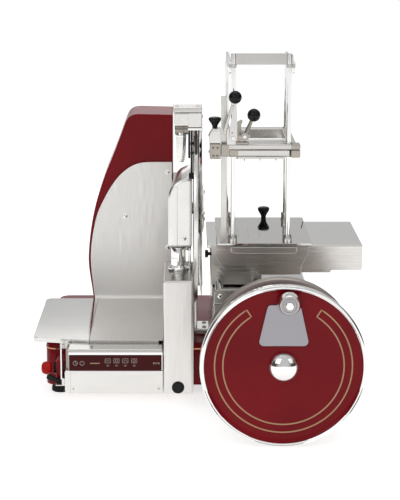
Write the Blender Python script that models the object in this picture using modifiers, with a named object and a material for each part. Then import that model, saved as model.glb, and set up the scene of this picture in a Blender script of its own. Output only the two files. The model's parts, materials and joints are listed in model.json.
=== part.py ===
"""Hand crank meat slicer: flywheel slicer with a round knife, moving carriage and clamp frame.

Metres. X runs to the right along the flywheel side, Y away from the flywheel, Z up. The layout below is
drawn with X = 0 at the front column and the floor at Z = 0; SHIFT moves it onto the centre of its box.
Boxes are (x0, y0, z0, x1, y1, z1).
"""
import math

import bmesh
import bpy
from mathutils import Matrix, Vector

SHIFT = Vector((-0.0230, -0.14125, 0))

# Shared sizes
GAP = 0.0003
WALL = 0.008
EDGE_SMALL = 0.0012
EDGE_MID = 0.003
ROUND_STEPS = 24
FINE_STEPS = 40
SMALL_STEPS = 16
TINY_STEPS = 10
CORNER_STEPS = 4
BEVEL_STEPS = 2
SHARP_ANGLE = math.radians(32)
FULL_TURN = 2 * math.pi

# Base and feet
BASE_BOX = (-0.271, 0.112, 0.016, 0.262, 0.490, 0.100)
BASE_CORNER = 0.022
FOOT_SPOTS = {"foot_front_left": (-0.243, 0.131), "foot_front_right": (0.243, 0.131),
              "foot_rear_left": (-0.243, 0.471), "foot_rear_right": (0.243, 0.471)}
FOOT_R_TOP = 0.0165
FOOT_R_LOW = 0.0185
FOOT_HEIGHT = BASE_BOX[2] - GAP

# Control box, panel, stop button, column
CONTROL_BOX = (-0.2255, 0, 0.0345, -0.0412, 0.1115, 0.116)
PANEL_BOX = (-0.2172, -0.0018, 0.0800, -0.0440, -0.0003, 0.1090)
BOX_LID = (-0.2190, 0.006, 0.1140, -0.0430, 0.047, 0.1193)
SWITCH_BOX = (-0.2448, 0.034, 0.049, -0.2240, 0.070, 0.089)
STOP_AXIS_Y = 0.052
STOP_AXIS_Z = 0.0690
STOP_COLLAR = ((0.0045, 0), (0.0120, 0), (0.0120, 0.0060), (0.0045, 0.0060))
STOP_COLLAR_X = -0.2441
STOP_HEAD = ((0, 0), (0.0038, 0), (0.0038, 0.0095), (0.0090, 0.0095), (0.0126, 0.0135), (0.0128, 0.0190),
             (0.0105, 0.0245), (0.0060, 0.0275), (0, 0.0285))
STOP_HEAD_X = -0.2455
COLUMN_X = (-0.0405, 0.0160)
COLUMN_YZ = ((-0.004, 0.0345), (0.108, 0.0345), (0.108, 0.1035), (0.160, 0.1035), (0.160, 0.2535),
             (-0.004, 0.2535))

# Tray, deflector, knife drive cover
TRAY_BOX = (-0.2900, 0.0500, 0.1232, -0.1822, 0.3660, 0.1246)
TRAY_CORNER = 0.012
TRAY_SLANT = 0.020
TRAY_POSTS = ((-0.240, 0.150), (-0.240, 0.330))
SHELF_POSTS = ((-0.120, 0.200), (-0.120, 0.330))
TRAY_POST_R = 0.009
TRAY_POST_Z = (0.1003, 0.1240)
SHELF_BOX = (-0.1816, 0.0500, 0.1232, -0.0270, 0.3665, 0.1246)
SHELF_NOTCH_X = -0.0420
SHELF_NOTCH_Y = 0.1640
DEFLECTOR_Y = (0.3656, 0.3674)
DEFLECTOR_XZ = ((-0.0270, 0.1232), (-0.0270, 0.4145), (-0.0723, 0.4145), (-0.0929, 0.4124), (-0.1137, 0.4041),
                (-0.1345, 0.3873), (-0.1512, 0.3662), (-0.1659, 0.3409), (-0.1808, 0.3092), (-0.1895, 0.2752),
                (-0.1951, 0.2390), (-0.1966, 0.2026), (-0.1929, 0.1595), (-0.1890, 0.1232))
HOUSING_Y = (0.3720, 0.5000)
HOUSING_XZ = ((-0.0250, 0.1005), (-0.0250, 0.5119), (-0.0960, 0.5135), (-0.1100, 0.5105), (-0.1205, 0.5000),
              (-0.1300, 0.4763), (-0.1459, 0.4342), (-0.1673, 0.3813), (-0.1846, 0.3280), (-0.1957, 0.2745),
              (-0.2015, 0.2206), (-0.2009, 0.1881), (-0.1950, 0.1445), (-0.1890, 0.1005))
HOUSING_WALL = 0.004
REAR_COVER_Y = (0.5003, 0.5028)
SCREW_SPOTS = ((-0.1227, 0.3007), (-0.0352, 0.3936), (-0.0355, 0.2347))
SCREW_R = 0.0042
SCREW_Y = (0.3631, 0.3665)
SPACER_SPOTS = ((-0.1227, 0.3007), (-0.0400, 0.3936), (-0.0400, 0.2347))
SPACER_Y = (0.3665, 0.3717)
SPACER_R = 0.008

# Motor and inlet inside and behind the cover
MOTOR_AXIS = (0.436, 0.235)
MOTOR_X = (-0.165, -0.062)
MOTOR_R = 0.046
MOTOR_SHAFT_R = 0.0055
MOTOR_SHAFT_X = (-0.0640, -0.0320)
MOTOR_FOOT_BOX = (-0.150, 0.404, 0.180, -0.080, 0.5000, 0.2000)
INLET_BOX = (-0.1240, 0.5031, 0.150, -0.0960, 0.5170, 0.172)
INLET_WALL = 0.0025
INLET_FLOOR = 0.004

# Knife, guards, hub cover
KNIFE_Y = 0.200
KNIFE_Z = 0.351
KNIFE_PROFILE = ((0.0125, 0.0262), (0.0560, 0.0262), (0.0620, 0.0275), (0.1480, 0.0275), (0.1765, 0.0318),
                 (0.1765, 0.0323), (0.1480, 0.0310), (0.0620, 0.0310), (0.0560, 0.0322), (0.0125, 0.0322))
KNIFE_NUT = ((0, 0.0326), (0.0480, 0.0326), (0.0480, 0.0345), (0.0400, 0.0368), (0, 0.0372))
RING_PROFILE = ((0.1680, 0.0165), (0.1830, 0.0165), (0.1850, 0.0185), (0.1850, 0.0245), (0.1680, 0.0245))
LIP_RADII = (0.1785, 0.1850)
LIP_X = (0.0235, 0.0355)
LIP_ANGLES = (math.radians(-70), math.radians(75))
LIP_STEPS = 40
RING_FOOT_BOX = (0.0170, 0.170, 0.1003, 0.0240, 0.230, 0.1700)
RING_SOLE_BOX = (0.0170, 0.170, 0.1003, 0.0480, 0.230, 0.1400)
HUB_DOME = ((0.0850, 0.0120), (0.0835, 0.0030), (0.0760, -0.0105), (0.0620, -0.0200), (0.0400, -0.0278),
            (0, -0.0320), (0, -0.0295), (0.0390, -0.0254), (0.0605, -0.0181), (0.0742, -0.0090),
            (0.0812, 0.0035), (0.0826, 0.0120))
ARM_BOX = (-0.0180, 0.200, 0.320, 0.0095, 0.3717, 0.382)
ARM_HUB_R = 0.046
ARM_HUB_X = (-0.0180, 0.0095)
ARM_BORE_R = 0.0215
ARM_FLANGE_BOX = (-0.0247, 0.3600, 0.3100, 0.0095, 0.4300, 0.3820)
NOTCH_BOX = (-0.0195, 0.250, 0.3185, 0.0140, 0.300, 0.3835)
KNIFE_SHAFT_R = 0.0120
KNIFE_SHAFT_X = (-0.0165, 0.0259)
KNIFE_BEARING_X = (-0.0130, 0.0070)
KNIFE_BEARING_R = (0.0123, 0.0212)
KNIFE_FLANGE_R = 0.0500
KNIFE_FLANGE_X = (0.0165, 0.0259)

# Hand guard and its post on the column
POST_X = -0.0125
POST_Y = 0.090
GUARD_XZ = ((0.0135, 0.2975), (0.0135, 0.4300), (0.0040, 0.4300), (-0.0080, 0.4270), (-0.0190, 0.4205),
            (-0.0270, 0.4110), (-0.0310, 0.3990), (-0.0320, 0.3850), (-0.0320, 0.2975))
GUARD_Y = (0.0815, 0.0985)
POST_PROFILE = ((0.0200, 0.2538), (0.0200, 0.2580), (0.0170, 0.2605), (0.0142, 0.2630), (0.0142, 0.2940),
                (0.0130, 0.2972), (0, 0.2972), (0, 0.2538))
LATCH_FOOT = (0.0088, 0.0900, 0.2620)
LATCH_R = (0.0036, 0.0022)
LATCH_CLEAR = 0.0015
LATCH_PIVOT_R = 0.0042

# Sharpener above the knife
SHARP_CAP_BOX = (-0.0225, 0.062, 0.5583, 0.0320, 0.118, 0.5671)
SHARP_BODY_BOX = (-0.0200, 0.066, 0.5325, 0.0100, 0.1120, 0.5575)
SHARP_BLOCK_BOX = (0.0054, 0.064, 0.5245, 0.0318, 0.1140, 0.5580)
SHARP_DRUM_Z = 0.5235
SHARP_DRUM_Y = 0.090
SHARP_DRUM_X = (-0.0190, 0.0070)
SHARP_DRUM_R = 0.0102
SHARP_CONE_X = -0.0075
SHARP_CONE = ((0, 0.5180), (0.0096, 0.5180), (0.0098, 0.5080), (0.0078, 0.4680), (0.0050, 0.4610), (0, 0.4600))
SHARP_ROD_X = 0.0125
SHARP_ROD_Y = 0.070
SHARP_ROD_R = 0.0021
SHARP_ROD_Z = (0.4420, 0.5242)
SHARP_KNOB = ((0, 0.4325), (0.0045, 0.4325), (0.0058, 0.4350), (0.0058, 0.4410), (0.0040, 0.4437), (0, 0.4437))
SHARP_ARM_BOX = (-0.0160, 0.1145, 0.5285, 0.0162, 0.2250, 0.5440)
SHARP_BASE_BOX = (-0.0040, 0.1700, 0.5200, 0.0162, 0.2250, 0.5300)
STONE_AXIS_YZ = (0.1150, 0.4740)
STONE_FINE_YZ = (0.1400, 0.4885)
STONE_R = 0.0085
STONE_X = (0.0190, 0.0268)
STONE_SPINDLE_R = 0.0028
STONE_SPINDLE_X = (0.0103, 0.0132)
STONE_HANGER_BOX = (0.0060, 0.1000, 0.4660, 0.0100, 0.1135, 0.5270)
STONE_FOOT_BOX = (0.0060, 0.1000, 0.4660, 0.0100, 0.1500, 0.4990)

# Flywheel
WHEEL_X = 0.171
WHEEL_Z = 0.1505
RIM_PROFILE = ((0.1385, -0.1980), (0.1385, -0.2090), (0.1400, -0.2108), (0.1425, -0.2110), (0.1448, -0.2095),
               (0.1460, -0.2060), (0.1460, -0.1980))
DISC_PROFILE = ((0.0123, -0.2050), (0.1310, -0.2050), (0.1355, -0.2060), (0.1382, -0.2080), (0.1382, -0.1985),
                (0.1250, -0.1975), (0.0400, -0.1965), (0.0330, -0.1830), (0.0123, -0.1830))
HUB_CAP = ((0, -0.2053), (0.0272, -0.2053), (0.0270, -0.2095), (0.0252, -0.2150), (0.0210, -0.2205),
           (0.0148, -0.2245), (0.0075, -0.2265), (0, -0.2270))
CRANK_PLATE_XZ = ((-0.0448, 0.0370), (0.0448, 0.0370), (0.0284, 0.1110), (-0.0284, 0.1110))
CRANK_PLATE_CORNER = 0.0080
CRANK_PLATE_Y = (-0.2083, -0.2053)
GRIP_X = 0.0080
GRIP_Z = 0.1150
PIN_PROFILE = ((0, -0.2053), (0.0095, -0.2053), (0.0095, -0.2113), (0.0050, -0.2113), (0.0050, -0.2325),
               (0.0066, -0.2325), (0.0066, -0.2345), (0, -0.2345))
GRIP_PROFILE = ((0.0053, -0.2117), (0.0190, -0.2117), (0.0208, -0.2135), (0.0208, -0.2160), (0.0197, -0.2200),
                (0.0178, -0.2260), (0.0168, -0.2290), (0.0158, -0.2303), (0.0112, -0.2303), (0.0102, -0.2293),
                (0.0080, -0.2293), (0.0070, -0.2305), (0.0053, -0.2305))
FLY_SHAFT_R = 0.0120
FLY_SHAFT_Y = (-0.2048, 0.1650)
BACKING_PROFILE = ((0.0165, -0.1500), (0.0320, -0.1500), (0.0360, -0.1180), (0.1300, -0.1180), (0.1360, -0.1150),
                   (0.1360, -0.1030), (0.1330, -0.1000), (0.0380, -0.1000), (0.0320, 0.0997), (0.0165, 0.0997))
BUSH_RADII = (0.0123, 0.0162)
BUSH_SPAN = (-0.1460, 0.0960)

# Pedestal with the cross shaft and the crank
PEDESTAL_Y = (0.100, 0.3845)
PEDESTAL_XZ = ((0.052, 0.1005), (0.240, 0.1005), (0.240, 0.2060), (0.1480, 0.2160), (0.052, 0.2160))
PEDESTAL_HOLE_R = 0.0165
PEDESTAL_COVER_Y = (0.3848, 0.3870)
BEVEL_PROFILE = ((0.0080, 0), (0.0180, 0), (0.0360, 0.0020), (0.0215, 0.0165), (0.0080, 0.0165))
BEVEL_TEETH = 12
BEVEL_RIDGE = 0.0011
BEVEL_PINION_Y = 0.1615
BEVEL_GEAR_X = 0.1325
CROSS_SHAFT_R = 0.0087
CROSS_SHAFT_X = (0.0850, 0.2280)
CROSS_BEARING_RADII = (0.0090, 0.0180)
CROSS_BEARING_SPANS = ((0.0920, 0.1040), (0.2200, 0.2330))
CROSS_WEB_BOX = (0.0920, 0.1850, 0.1040, 0.1040, 0.2150, 0.1380)
CRANK_DISC_R = 0.0360
CRANK_DISC_X = (0.0780, 0.0880)
CRANK_THROW = 0.0270
CRANK_PIN_R = 0.0060
CRANK_PIN_X = (0.0625, 0.0800)
ROD_X = (0.0640, 0.0760)
ROD_LENGTH = 0.0900
ROD_EYE_R = 0.0110
ROD_BORE_R = 0.0064

# Rails and carriage
RAIL_X = (0.0640, 0.1320)
RAIL_Z = 0.2350
RAIL_R = 0.0080
RAIL_Y = (-0.0360, 0.4090)
RAIL_BED_BOX = (0.0520, -0.0450, 0.2163, 0.1440, 0.4180, 0.2215)
RAIL_END_BOXES = ((0.0535, -0.0445, 0.1950, 0.1425, -0.0343, 0.2465),
                  (0.0535, 0.4073, 0.2200, 0.1425, 0.4175, 0.2465))
SLIDE_BOX = (0.0500, 0.0840, 0.2250, 0.1460, 0.2500, 0.2910)
SLIDE_BORE_R = 0.0083
TABLE_BOX = (0.0420, 0.0700, 0.2990, 0.3360, 0.2900, 0.3050)
TABLE_RIB_BOX = (0.0500, 0.0740, 0.2913, 0.3250, 0.2850, 0.3000)
SKIRT_LEFT_XZ = ((0.0490, 0.3040), (0.0490, 0.2530), (0.1350, 0.2530), (0.1370, 0.2480), (0.2195, 0.2480),
                 (0.2210, 0.2610), (0.2290, 0.2880), (0.2335, 0.3040))
SKIRT_LEFT_Y = (0.0660, 0.0690)
SKIRT_RIGHT_XZ = ((0.2190, 0.3040), (0.2190, 0.2520), (0.2760, 0.2520), (0.2780, 0.2565), (0.3356, 0.2565),
                  (0.3356, 0.3040))
SKIRT_RIGHT_Y = (0.0680, 0.0697)
HANDLE_BOX = (0.0870, 0.0570, 0.2915, 0.2105, 0.0622, 0.3035)
HANDLE_CORNER = 0.0055
HANDLE_FEET_X = (0.1000, 0.1960)
HANDLE_FOOT_R = 0.0040
INDEX_KNOB = ((0, 0.0378), (0.0065, 0.0378), (0.0075, 0.0392), (0.0075, 0.0425), (0.0058, 0.0440), (0.0030, 0.0440),
              (0.0030, 0.0537), (0, 0.0537))
INDEX_KNOB_YZ = (0.0780, 0.2865)
INDEX_BOSS_BOX = (0.0540, 0.0725, 0.2800, 0.0640, 0.0835, 0.2960)

# Sliding meat plate, posts and top strap
MEAT_PLATE_BOX = (0.0600, 0.0630, 0.3053, 0.2400, 0.3080, 0.3100)
POST_SPOTS = ((0.0900, 0.0720), (0.1935, 0.0720), (0.0840, 0.2850), (0.2020, 0.2850))
POST_R = 0.0044
POST_TOPS = (0.6668, 0.6668, 0.6300, 0.6300)
POST_FOOT_Z = 0.3103
COLLAR_RADIUS = 0.0080
POST_HOLE_R = 0.0047
COLLAR_Z = (0.3090, 0.3250)
STRAP_FRONT_BOX = (0.0820, 0.0740, 0.6463, 0.2010, 0.0785, 0.6670)
STRAP_SIDE_LEFT_BOX = (0.0815, 0.0700, 0.6290, 0.0865, 0.2900, 0.6500)
STRAP_SIDE_RIGHT_BOX = (0.1995, 0.0700, 0.6290, 0.2045, 0.2900, 0.6500)
RACK_BOX = (0.0670, 0.0745, 0.3090, 0.0782, 0.0800, 0.5872)
RACK_TEETH = 16
RACK_TOOTH = 0.0014
RACK_TEETH_Z = (0.3400, 0.5700)
TABLE_KNOB = ((0, 0.3103), (0.0050, 0.3103), (0.0046, 0.3150), (0.0085, 0.3200), (0.0120, 0.3260), (0.0120, 0.3300),
              (0.0085, 0.3335), (0, 0.3345))
TABLE_KNOB_XY = (0.1595, 0.2960)
FEED_SCREW_YZ = (0.1800, 0.2850)
FEED_SCREW_X = (0.1520, 0.3300)
FEED_SCREW_R = 0.0040
FEED_THREADS = 14
FEED_THREAD_R = 0.0006
FEED_BEARING_BOX = (0.3040, 0.1700, 0.2760, 0.3140, 0.1900, 0.2920)
FEED_BEARING_R = 0.0043

# Clamp that rides on the posts
CROSS_FRONT_BOX = (0.0805, 0.0560, 0.4760, 0.1990, 0.0880, 0.4995)
CROSS_SIDE_LEFT_BOX = (0.0810, 0.0860, 0.4800, 0.0930, 0.2720, 0.4960)
CROSS_SIDE_RIGHT_BOX = (0.1935, 0.0860, 0.4800, 0.2100, 0.2720, 0.4960)
CROSS_REAR_BOX = (0.0770, 0.2703, 0.4780, 0.2100, 0.2960, 0.4980)
CROSS_LINK_BOX = (0.0669, 0.0560, 0.4760, 0.0815, 0.0700, 0.4995)
CROSS_BORE_R = 0.0048
CROSS_END_BOX = (0.1970, 0.0565, 0.4740, 0.2150, 0.0860, 0.4990)
PRESS_PLATE_BOX = (0.0960, 0.0920, 0.4660, 0.1900, 0.2660, 0.4700)
PRESS_RIB_BOX = (0.1350, 0.0950, 0.4690, 0.1500, 0.2640, 0.4757)
PRESS_ARM_BOX = (0.0900, 0.1700, 0.4810, 0.1960, 0.1900, 0.4890)
PRESS_STEM_R = 0.0060
PRESS_STEM_Z = (0.4740, 0.4807)
SPIKE_ROWS = 5
SPIKE_COLUMNS = 3
SPIKE_STEP_X = 0.0300
SPIKE_STEP_Y = 0.0340
SPIKE_R = 0.0026
SPIKE_LENGTH = 0.0100
PAWL_UPPER_BOX = (0.0447, 0.0580, 0.5000, 0.0666, 0.0860, 0.5285)
PAWL_LOWER_BOX = (0.0447, 0.0540, 0.4718, 0.0666, 0.0880, 0.5007)
PRESS_KNOB = ((0, 0.5288), (0.0050, 0.5288), (0.0050, 0.5330), (0.0085, 0.5370), (0.0118, 0.5425), (0.0116, 0.5465),
              (0.0070, 0.5495), (0, 0.5503))
PRESS_KNOB_XY = (0.0557, 0.0720)
LEVER_Y = 0.0450
LEVER_HALF = 0.0045
LEVER1_PIVOT = (0.0893, 0.5130)
LEVER1_BALL = (0.0925, 0.5891)
LEVER2_PIVOT = (0.1105, 0.5160)
LEVER2_BALL = (0.1271, 0.5561)
LEVER_EYE_R = 0.0070
LEVER_BOSS_R = 0.0080
LEVER_BORE_R = 0.0035
LEVER_PIN_R = 0.0032
LEVER_ARM_R = (0.0040, 0.0030)
BALL_R = 0.0122
LEVER1_BLOCK_BOX = (0.0810, 0.0563, 0.4985, 0.0985, 0.0660, 0.5270)
LEVER2_BLOCK_BOX = (0.1020, 0.0563, 0.4985, 0.1190, 0.0740, 0.5270)
LEVER_BRIDGE_BOX = (0.0812, 0.0563, 0.4985, 0.1190, 0.0660, 0.5050)
LEVER_PIN_Y = (0.0400, 0.0575)

# Colours
RED = (0.33, 0.006, 0.012, 1)
STEEL = (0.66, 0.65, 0.63, 1)
CHROME = (0.82, 0.82, 0.82, 1)
CAST = (0.62, 0.61, 0.58, 1)
WHITE_CAST = (0.78, 0.77, 0.74, 1)
DARK = (0.03, 0.03, 0.03, 1)
STOP_RED = (0.75, 0.02, 0.01, 1)
BRASS = (0.72, 0.50, 0.28, 1)
STONE = (0.16, 0.15, 0.14, 1)
METAL_ROUGH = 0.3
PAINT_ROUGH = 0.2
PLASTIC_ROUGH = 0.45

AXES = {"X": (1, 2, 0), "Y": (0, 2, 1), "Z": (0, 1, 2)}

for old in list(bpy.data.objects):
    bpy.data.objects.remove(old, do_unlink=True)
PART = bpy.data.collections.new("hand_crank_meat_slicer")
CUTTERS = bpy.data.collections.new("cutters")
bpy.context.scene.collection.children.link(PART)
bpy.context.scene.collection.children.link(CUTTERS)


def place(axis, u, v, t):
    """Point with u, v across the axis and t along it."""
    point = [0, 0, 0]
    order = AXES[axis]
    point[order[0]] = u
    point[order[1]] = v
    point[order[2]] = t
    return Vector(point)


def material(name, colour, metallic, rough):
    made = bpy.data.materials.new(name)
    made.use_nodes = True
    shader = made.node_tree.nodes["Principled BSDF"]
    shader.inputs["Base Color"].default_value = colour
    shader.inputs["Metallic"].default_value = metallic
    shader.inputs["Roughness"].default_value = rough
    made.diffuse_color = colour
    return made


def mesh_object(name, bm, pivot, collection):
    bmesh.ops.remove_doubles(bm, verts=bm.verts, dist=GAP / ROUND_STEPS)
    bmesh.ops.recalc_face_normals(bm, faces=bm.faces)
    bmesh.ops.translate(bm, verts=bm.verts, vec=-Vector(pivot))
    for face in bm.faces:
        face.smooth = True
    mesh = bpy.data.meshes.new(name)
    bm.to_mesh(mesh)
    bm.free()
    mesh.set_sharp_from_angle(angle=SHARP_ANGLE)
    made = bpy.data.objects.new(name, mesh)
    made.location = Vector(pivot) + SHIFT
    collection.objects.link(made)
    return made


def helper(name, bm):
    """A piece that is cut from or joined to another, left out of the model itself."""
    made = mesh_object(name, bm, (0, 0, 0), CUTTERS)
    made.hide_render = True
    made.display_type = "WIRE"
    return made


def node(name, solids, colour, pivot=(0, 0, 0), metallic=1, rough=METAL_ROUGH, bevel=0, holes=()):
    """One named object: the solids joined into one body, then cut by the holes."""
    made = mesh_object(name, solids[0], pivot, PART)
    made.data.materials.append(material(name, colour, metallic, rough))
    steps = [("UNION", helper(name + "_join", bm)) for bm in solids[1:]]
    steps += [("DIFFERENCE", helper(name + "_cut", bm)) for bm in holes]
    for operation, other in steps:
        boolean = made.modifiers.new(operation.lower(), "BOOLEAN")
        boolean.operation = operation
        boolean.solver = "EXACT"
        boolean.object = other
    if bevel:
        edge = made.modifiers.new("edge", "BEVEL")
        edge.width = bevel
        edge.segments = BEVEL_STEPS
        edge.limit_method = "ANGLE"
        edge.angle_limit = SHARP_ANGLE
    return made


def box(bm, size):
    x0, y0, z0, x1, y1, z1 = size
    prism(bm, ((x0, y0), (x1, y0), (x1, y1), (x0, y1)), "Z", z0, z1)


def prism(bm, outline, axis, low, high):
    bottom = [bm.verts.new(place(axis, u, v, low)) for u, v in outline]
    top = [bm.verts.new(place(axis, u, v, high)) for u, v in outline]
    count = len(outline)
    bm.faces.new(bottom)
    bm.faces.new(top)
    for i in range(count):
        j = (i + 1) % count
        bm.faces.new((bottom[i], bottom[j], top[j], top[i]))


def inset(outline, depth):
    """Outline moved inwards by depth; the outline runs either way round."""
    count = len(outline)
    area = sum(outline[i][0] * outline[(i + 1) % count][1] - outline[(i + 1) % count][0] * outline[i][1]
               for i in range(count))
    side = 1 if area > 0 else -1
    result = []
    for i in range(count):
        before = Vector(outline[i - 1])
        here = Vector(outline[i])
        after = Vector(outline[(i + 1) % count])
        first = (here - before).normalized()
        second = (after - here).normalized()
        normal_a = Vector((-first.y, first.x)) * side
        normal_b = Vector((-second.y, second.x)) * side
        middle = (normal_a + normal_b).normalized()
        result.append(tuple(here + middle * (depth / middle.dot(normal_a))))
    return result


def shell(bm, outline, wall, axis, closed_end, open_end, cap):
    """Hollow prism: closed by a wall of thickness cap at closed_end, open at open_end."""
    inner = inset(outline, wall)
    floor = closed_end + (cap if open_end > closed_end else -cap)
    rows = []
    for loop, t in ((outline, closed_end), (outline, open_end), (inner, open_end), (inner, floor)):
        rows.append([bm.verts.new(place(axis, u, v, t)) for u, v in loop])
    count = len(outline)
    bm.faces.new(rows[0])
    bm.faces.new(rows[-1])
    for a, b in zip(rows[:-1], rows[1:]):
        for i in range(count):
            j = (i + 1) % count
            bm.faces.new((a[i], a[j], b[j], b[i]))


def rounded(outline, radius, steps=CORNER_STEPS):
    """Outline with each corner replaced by an arc of the given radius."""
    count = len(outline)
    result = []
    for i in range(count):
        here = Vector(outline[i])
        to_before = (Vector(outline[i - 1]) - here).normalized()
        to_after = (Vector(outline[(i + 1) % count]) - here).normalized()
        half = to_before.angle(to_after) / 2
        reach = radius / math.tan(half)
        centre = here + (to_before + to_after).normalized() * (radius / math.sin(half))
        start = here + to_before * reach - centre
        end = here + to_after * reach - centre
        sweep = math.atan2(start.x * end.y - start.y * end.x, start.dot(end))
        for k in range(steps + 1):
            turn = Matrix.Rotation(sweep * k / steps, 2)
            result.append(tuple(centre + turn @ start))
    return result


def rectangle(x0, y0, x1, y1, radius):
    return rounded(((x0, y0), (x1, y0), (x1, y1), (x0, y1)), radius)


def lathe(bm, profile, axis, u=0, v=0, steps=ROUND_STEPS, shift=0, flip=1):
    """Closed profile of (radius, place along the axis) turned about the axis through u, v."""
    rings = []
    for radius, t in profile:
        along = shift + flip * t
        if radius == 0:
            rings.append([bm.verts.new(place(axis, u, v, along))])
            continue
        ring = []
        for k in range(steps):
            angle = FULL_TURN * k / steps
            ring.append(bm.verts.new(place(axis, u + radius * math.cos(angle), v + radius * math.sin(angle), along)))
        rings.append(ring)
    count = len(rings)
    for i in range(count):
        a = rings[i]
        b = rings[(i + 1) % count]
        if len(a) == 1 and len(b) == 1:
            continue
        for k in range(steps):
            m = (k + 1) % steps
            if len(a) == 1:
                bm.faces.new((a[0], b[m], b[k]))
            elif len(b) == 1:
                bm.faces.new((a[k], a[m], b[0]))
            else:
                bm.faces.new((a[k], a[m], b[m], b[k]))


def disc(bm, axis, u, v, radius, low, high, steps=SMALL_STEPS):
    lathe(bm, ((0, low), (radius, low), (radius, high), (0, high)), axis, u, v, steps)


def tube(bm, axis, u, v, inner, outer, low, high, steps=SMALL_STEPS):
    lathe(bm, ((inner, low), (outer, low), (outer, high), (inner, high)), axis, u, v, steps)


def rod(bm, start, end, r_start, r_end, steps=TINY_STEPS):
    start = Vector(start)
    end = Vector(end)
    turn = Vector((0, 0, 1)).rotation_difference(end - start).to_matrix().to_4x4()
    where = Matrix.Translation((start + end) / 2) @ turn
    bmesh.ops.create_cone(bm, cap_ends=True, segments=steps, radius1=r_start, radius2=r_end,
                          depth=(end - start).length, matrix=where)


def ball(bm, centre, radius, steps=SMALL_STEPS):
    bmesh.ops.create_uvsphere(bm, u_segments=steps, v_segments=TINY_STEPS, radius=radius,
                              matrix=Matrix.Translation(centre))


def arc_bar(bm, axis, u, v, inner, outer, low, high, start, end, steps):
    rows = []
    for k in range(steps + 1):
        angle = start + (end - start) * k / steps
        rows.append([bm.verts.new(place(axis, u + r * math.cos(angle), v + r * math.sin(angle), t))
                     for r, t in ((inner, low), (outer, low), (outer, high), (inner, high))])
    bm.faces.new(rows[0])
    bm.faces.new(rows[-1])
    for a, b in zip(rows[:-1], rows[1:]):
        for i in range(len(a)):
            j = (i + 1) % len(a)
            bm.faces.new((a[i], a[j], b[j], b[i]))


def ridged(bm, axis, u, v, profile, shift, flip, teeth, ridge):
    """Bevel gear: the profile turned with its two outer rings raised on every other pair of steps."""
    steps = teeth * 4
    rings = []
    for i, (radius, t) in enumerate(profile):
        ring = []
        for k in range(steps):
            angle = FULL_TURN * k / steps
            tooth = ridge if i in (2, 3) and k % 4 < 2 else 0
            r = radius - tooth
            ring.append(bm.verts.new(place(axis, u + r * math.cos(angle), v + r * math.sin(angle),
                                           shift + flip * t)))
        rings.append(ring)
    count = len(rings)
    for i in range(count):
        a = rings[i]
        b = rings[(i + 1) % count]
        for k in range(steps):
            m = (k + 1) % steps
            bm.faces.new((a[k], a[m], b[m], b[k]))


def solid(make, *values):
    """A new solid made by one of the functions above."""
    bm = bmesh.new()
    make(bm, *values)
    return bm


# Base and feet
base_outline = rectangle(BASE_BOX[0], BASE_BOX[1], BASE_BOX[3], BASE_BOX[4], BASE_CORNER)
node("base_casting", [solid(shell, base_outline, WALL, "Z", BASE_BOX[5], BASE_BOX[2], WALL)], RED, metallic=0,
     rough=PAINT_ROUGH)
for name, (x, y) in FOOT_SPOTS.items():
    foot_profile = ((0, 0), (FOOT_R_LOW, 0), (FOOT_R_TOP, FOOT_HEIGHT), (0, FOOT_HEIGHT))
    node(name, [solid(lathe, foot_profile, "Z", x, y, SMALL_STEPS)], DARK, (x, y, 0), metallic=0,
         rough=PLASTIC_ROUGH)

# Control box and column
node("control_box", [solid(box, CONTROL_BOX), solid(box, BOX_LID), solid(box, SWITCH_BOX),
                     solid(lathe, STOP_COLLAR, "X", STOP_AXIS_Y, STOP_AXIS_Z, SMALL_STEPS, STOP_COLLAR_X, -1)],
     STEEL, holes=[solid(disc, "X", STOP_AXIS_Y, STOP_AXIS_Z, STOP_COLLAR[0][0], SWITCH_BOX[0] - WALL,
                         SWITCH_BOX[0] + WALL)])
node("control_panel", [solid(box, PANEL_BOX)], RED, metallic=0, rough=PAINT_ROUGH)
node("stop_button", [solid(lathe, STOP_HEAD, "X", STOP_AXIS_Y, STOP_AXIS_Z, SMALL_STEPS, STOP_HEAD_X, -1)],
     STOP_RED, (STOP_HEAD_X, STOP_AXIS_Y, STOP_AXIS_Z), metallic=0, rough=PLASTIC_ROUGH)
node("front_column", [solid(prism, COLUMN_YZ, "X", COLUMN_X[0], COLUMN_X[1])], STEEL, bevel=EDGE_SMALL)

# Tray, shelf, deflector
tray_corners = ((TRAY_BOX[0], TRAY_BOX[1] + TRAY_SLANT), (TRAY_BOX[3], TRAY_BOX[1]), (TRAY_BOX[3], TRAY_BOX[4]),
                (TRAY_BOX[0], TRAY_BOX[4]))
tray_outline = rounded(tray_corners, TRAY_CORNER)
tray_solids = [solid(prism, tray_outline, "Z", TRAY_BOX[2], TRAY_BOX[5])]
for x, y in TRAY_POSTS:
    tray_solids.append(solid(disc, "Z", x, y, TRAY_POST_R, TRAY_POST_Z[0], TRAY_POST_Z[1], TINY_STEPS))
node("slice_tray", tray_solids, STEEL)
shelf_outline = ((SHELF_BOX[0], SHELF_BOX[1]), (SHELF_NOTCH_X, SHELF_BOX[1]), (SHELF_NOTCH_X, SHELF_NOTCH_Y),
                 (SHELF_BOX[3], SHELF_NOTCH_Y), (SHELF_BOX[3], SHELF_BOX[4]), (SHELF_BOX[0], SHELF_BOX[4]))
deflector_solids = [solid(prism, DEFLECTOR_XZ, "Y", DEFLECTOR_Y[0], DEFLECTOR_Y[1]),
                    solid(prism, shelf_outline, "Z", SHELF_BOX[2], SHELF_BOX[5])]
for x, y in SHELF_POSTS:
    deflector_solids.append(solid(disc, "Z", x, y, TRAY_POST_R, TRAY_POST_Z[0], TRAY_POST_Z[1], TINY_STEPS))
for x, z in SCREW_SPOTS:
    deflector_solids.append(solid(disc, "Y", x, z, SCREW_R, SCREW_Y[0], SCREW_Y[1], TINY_STEPS))
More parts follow.
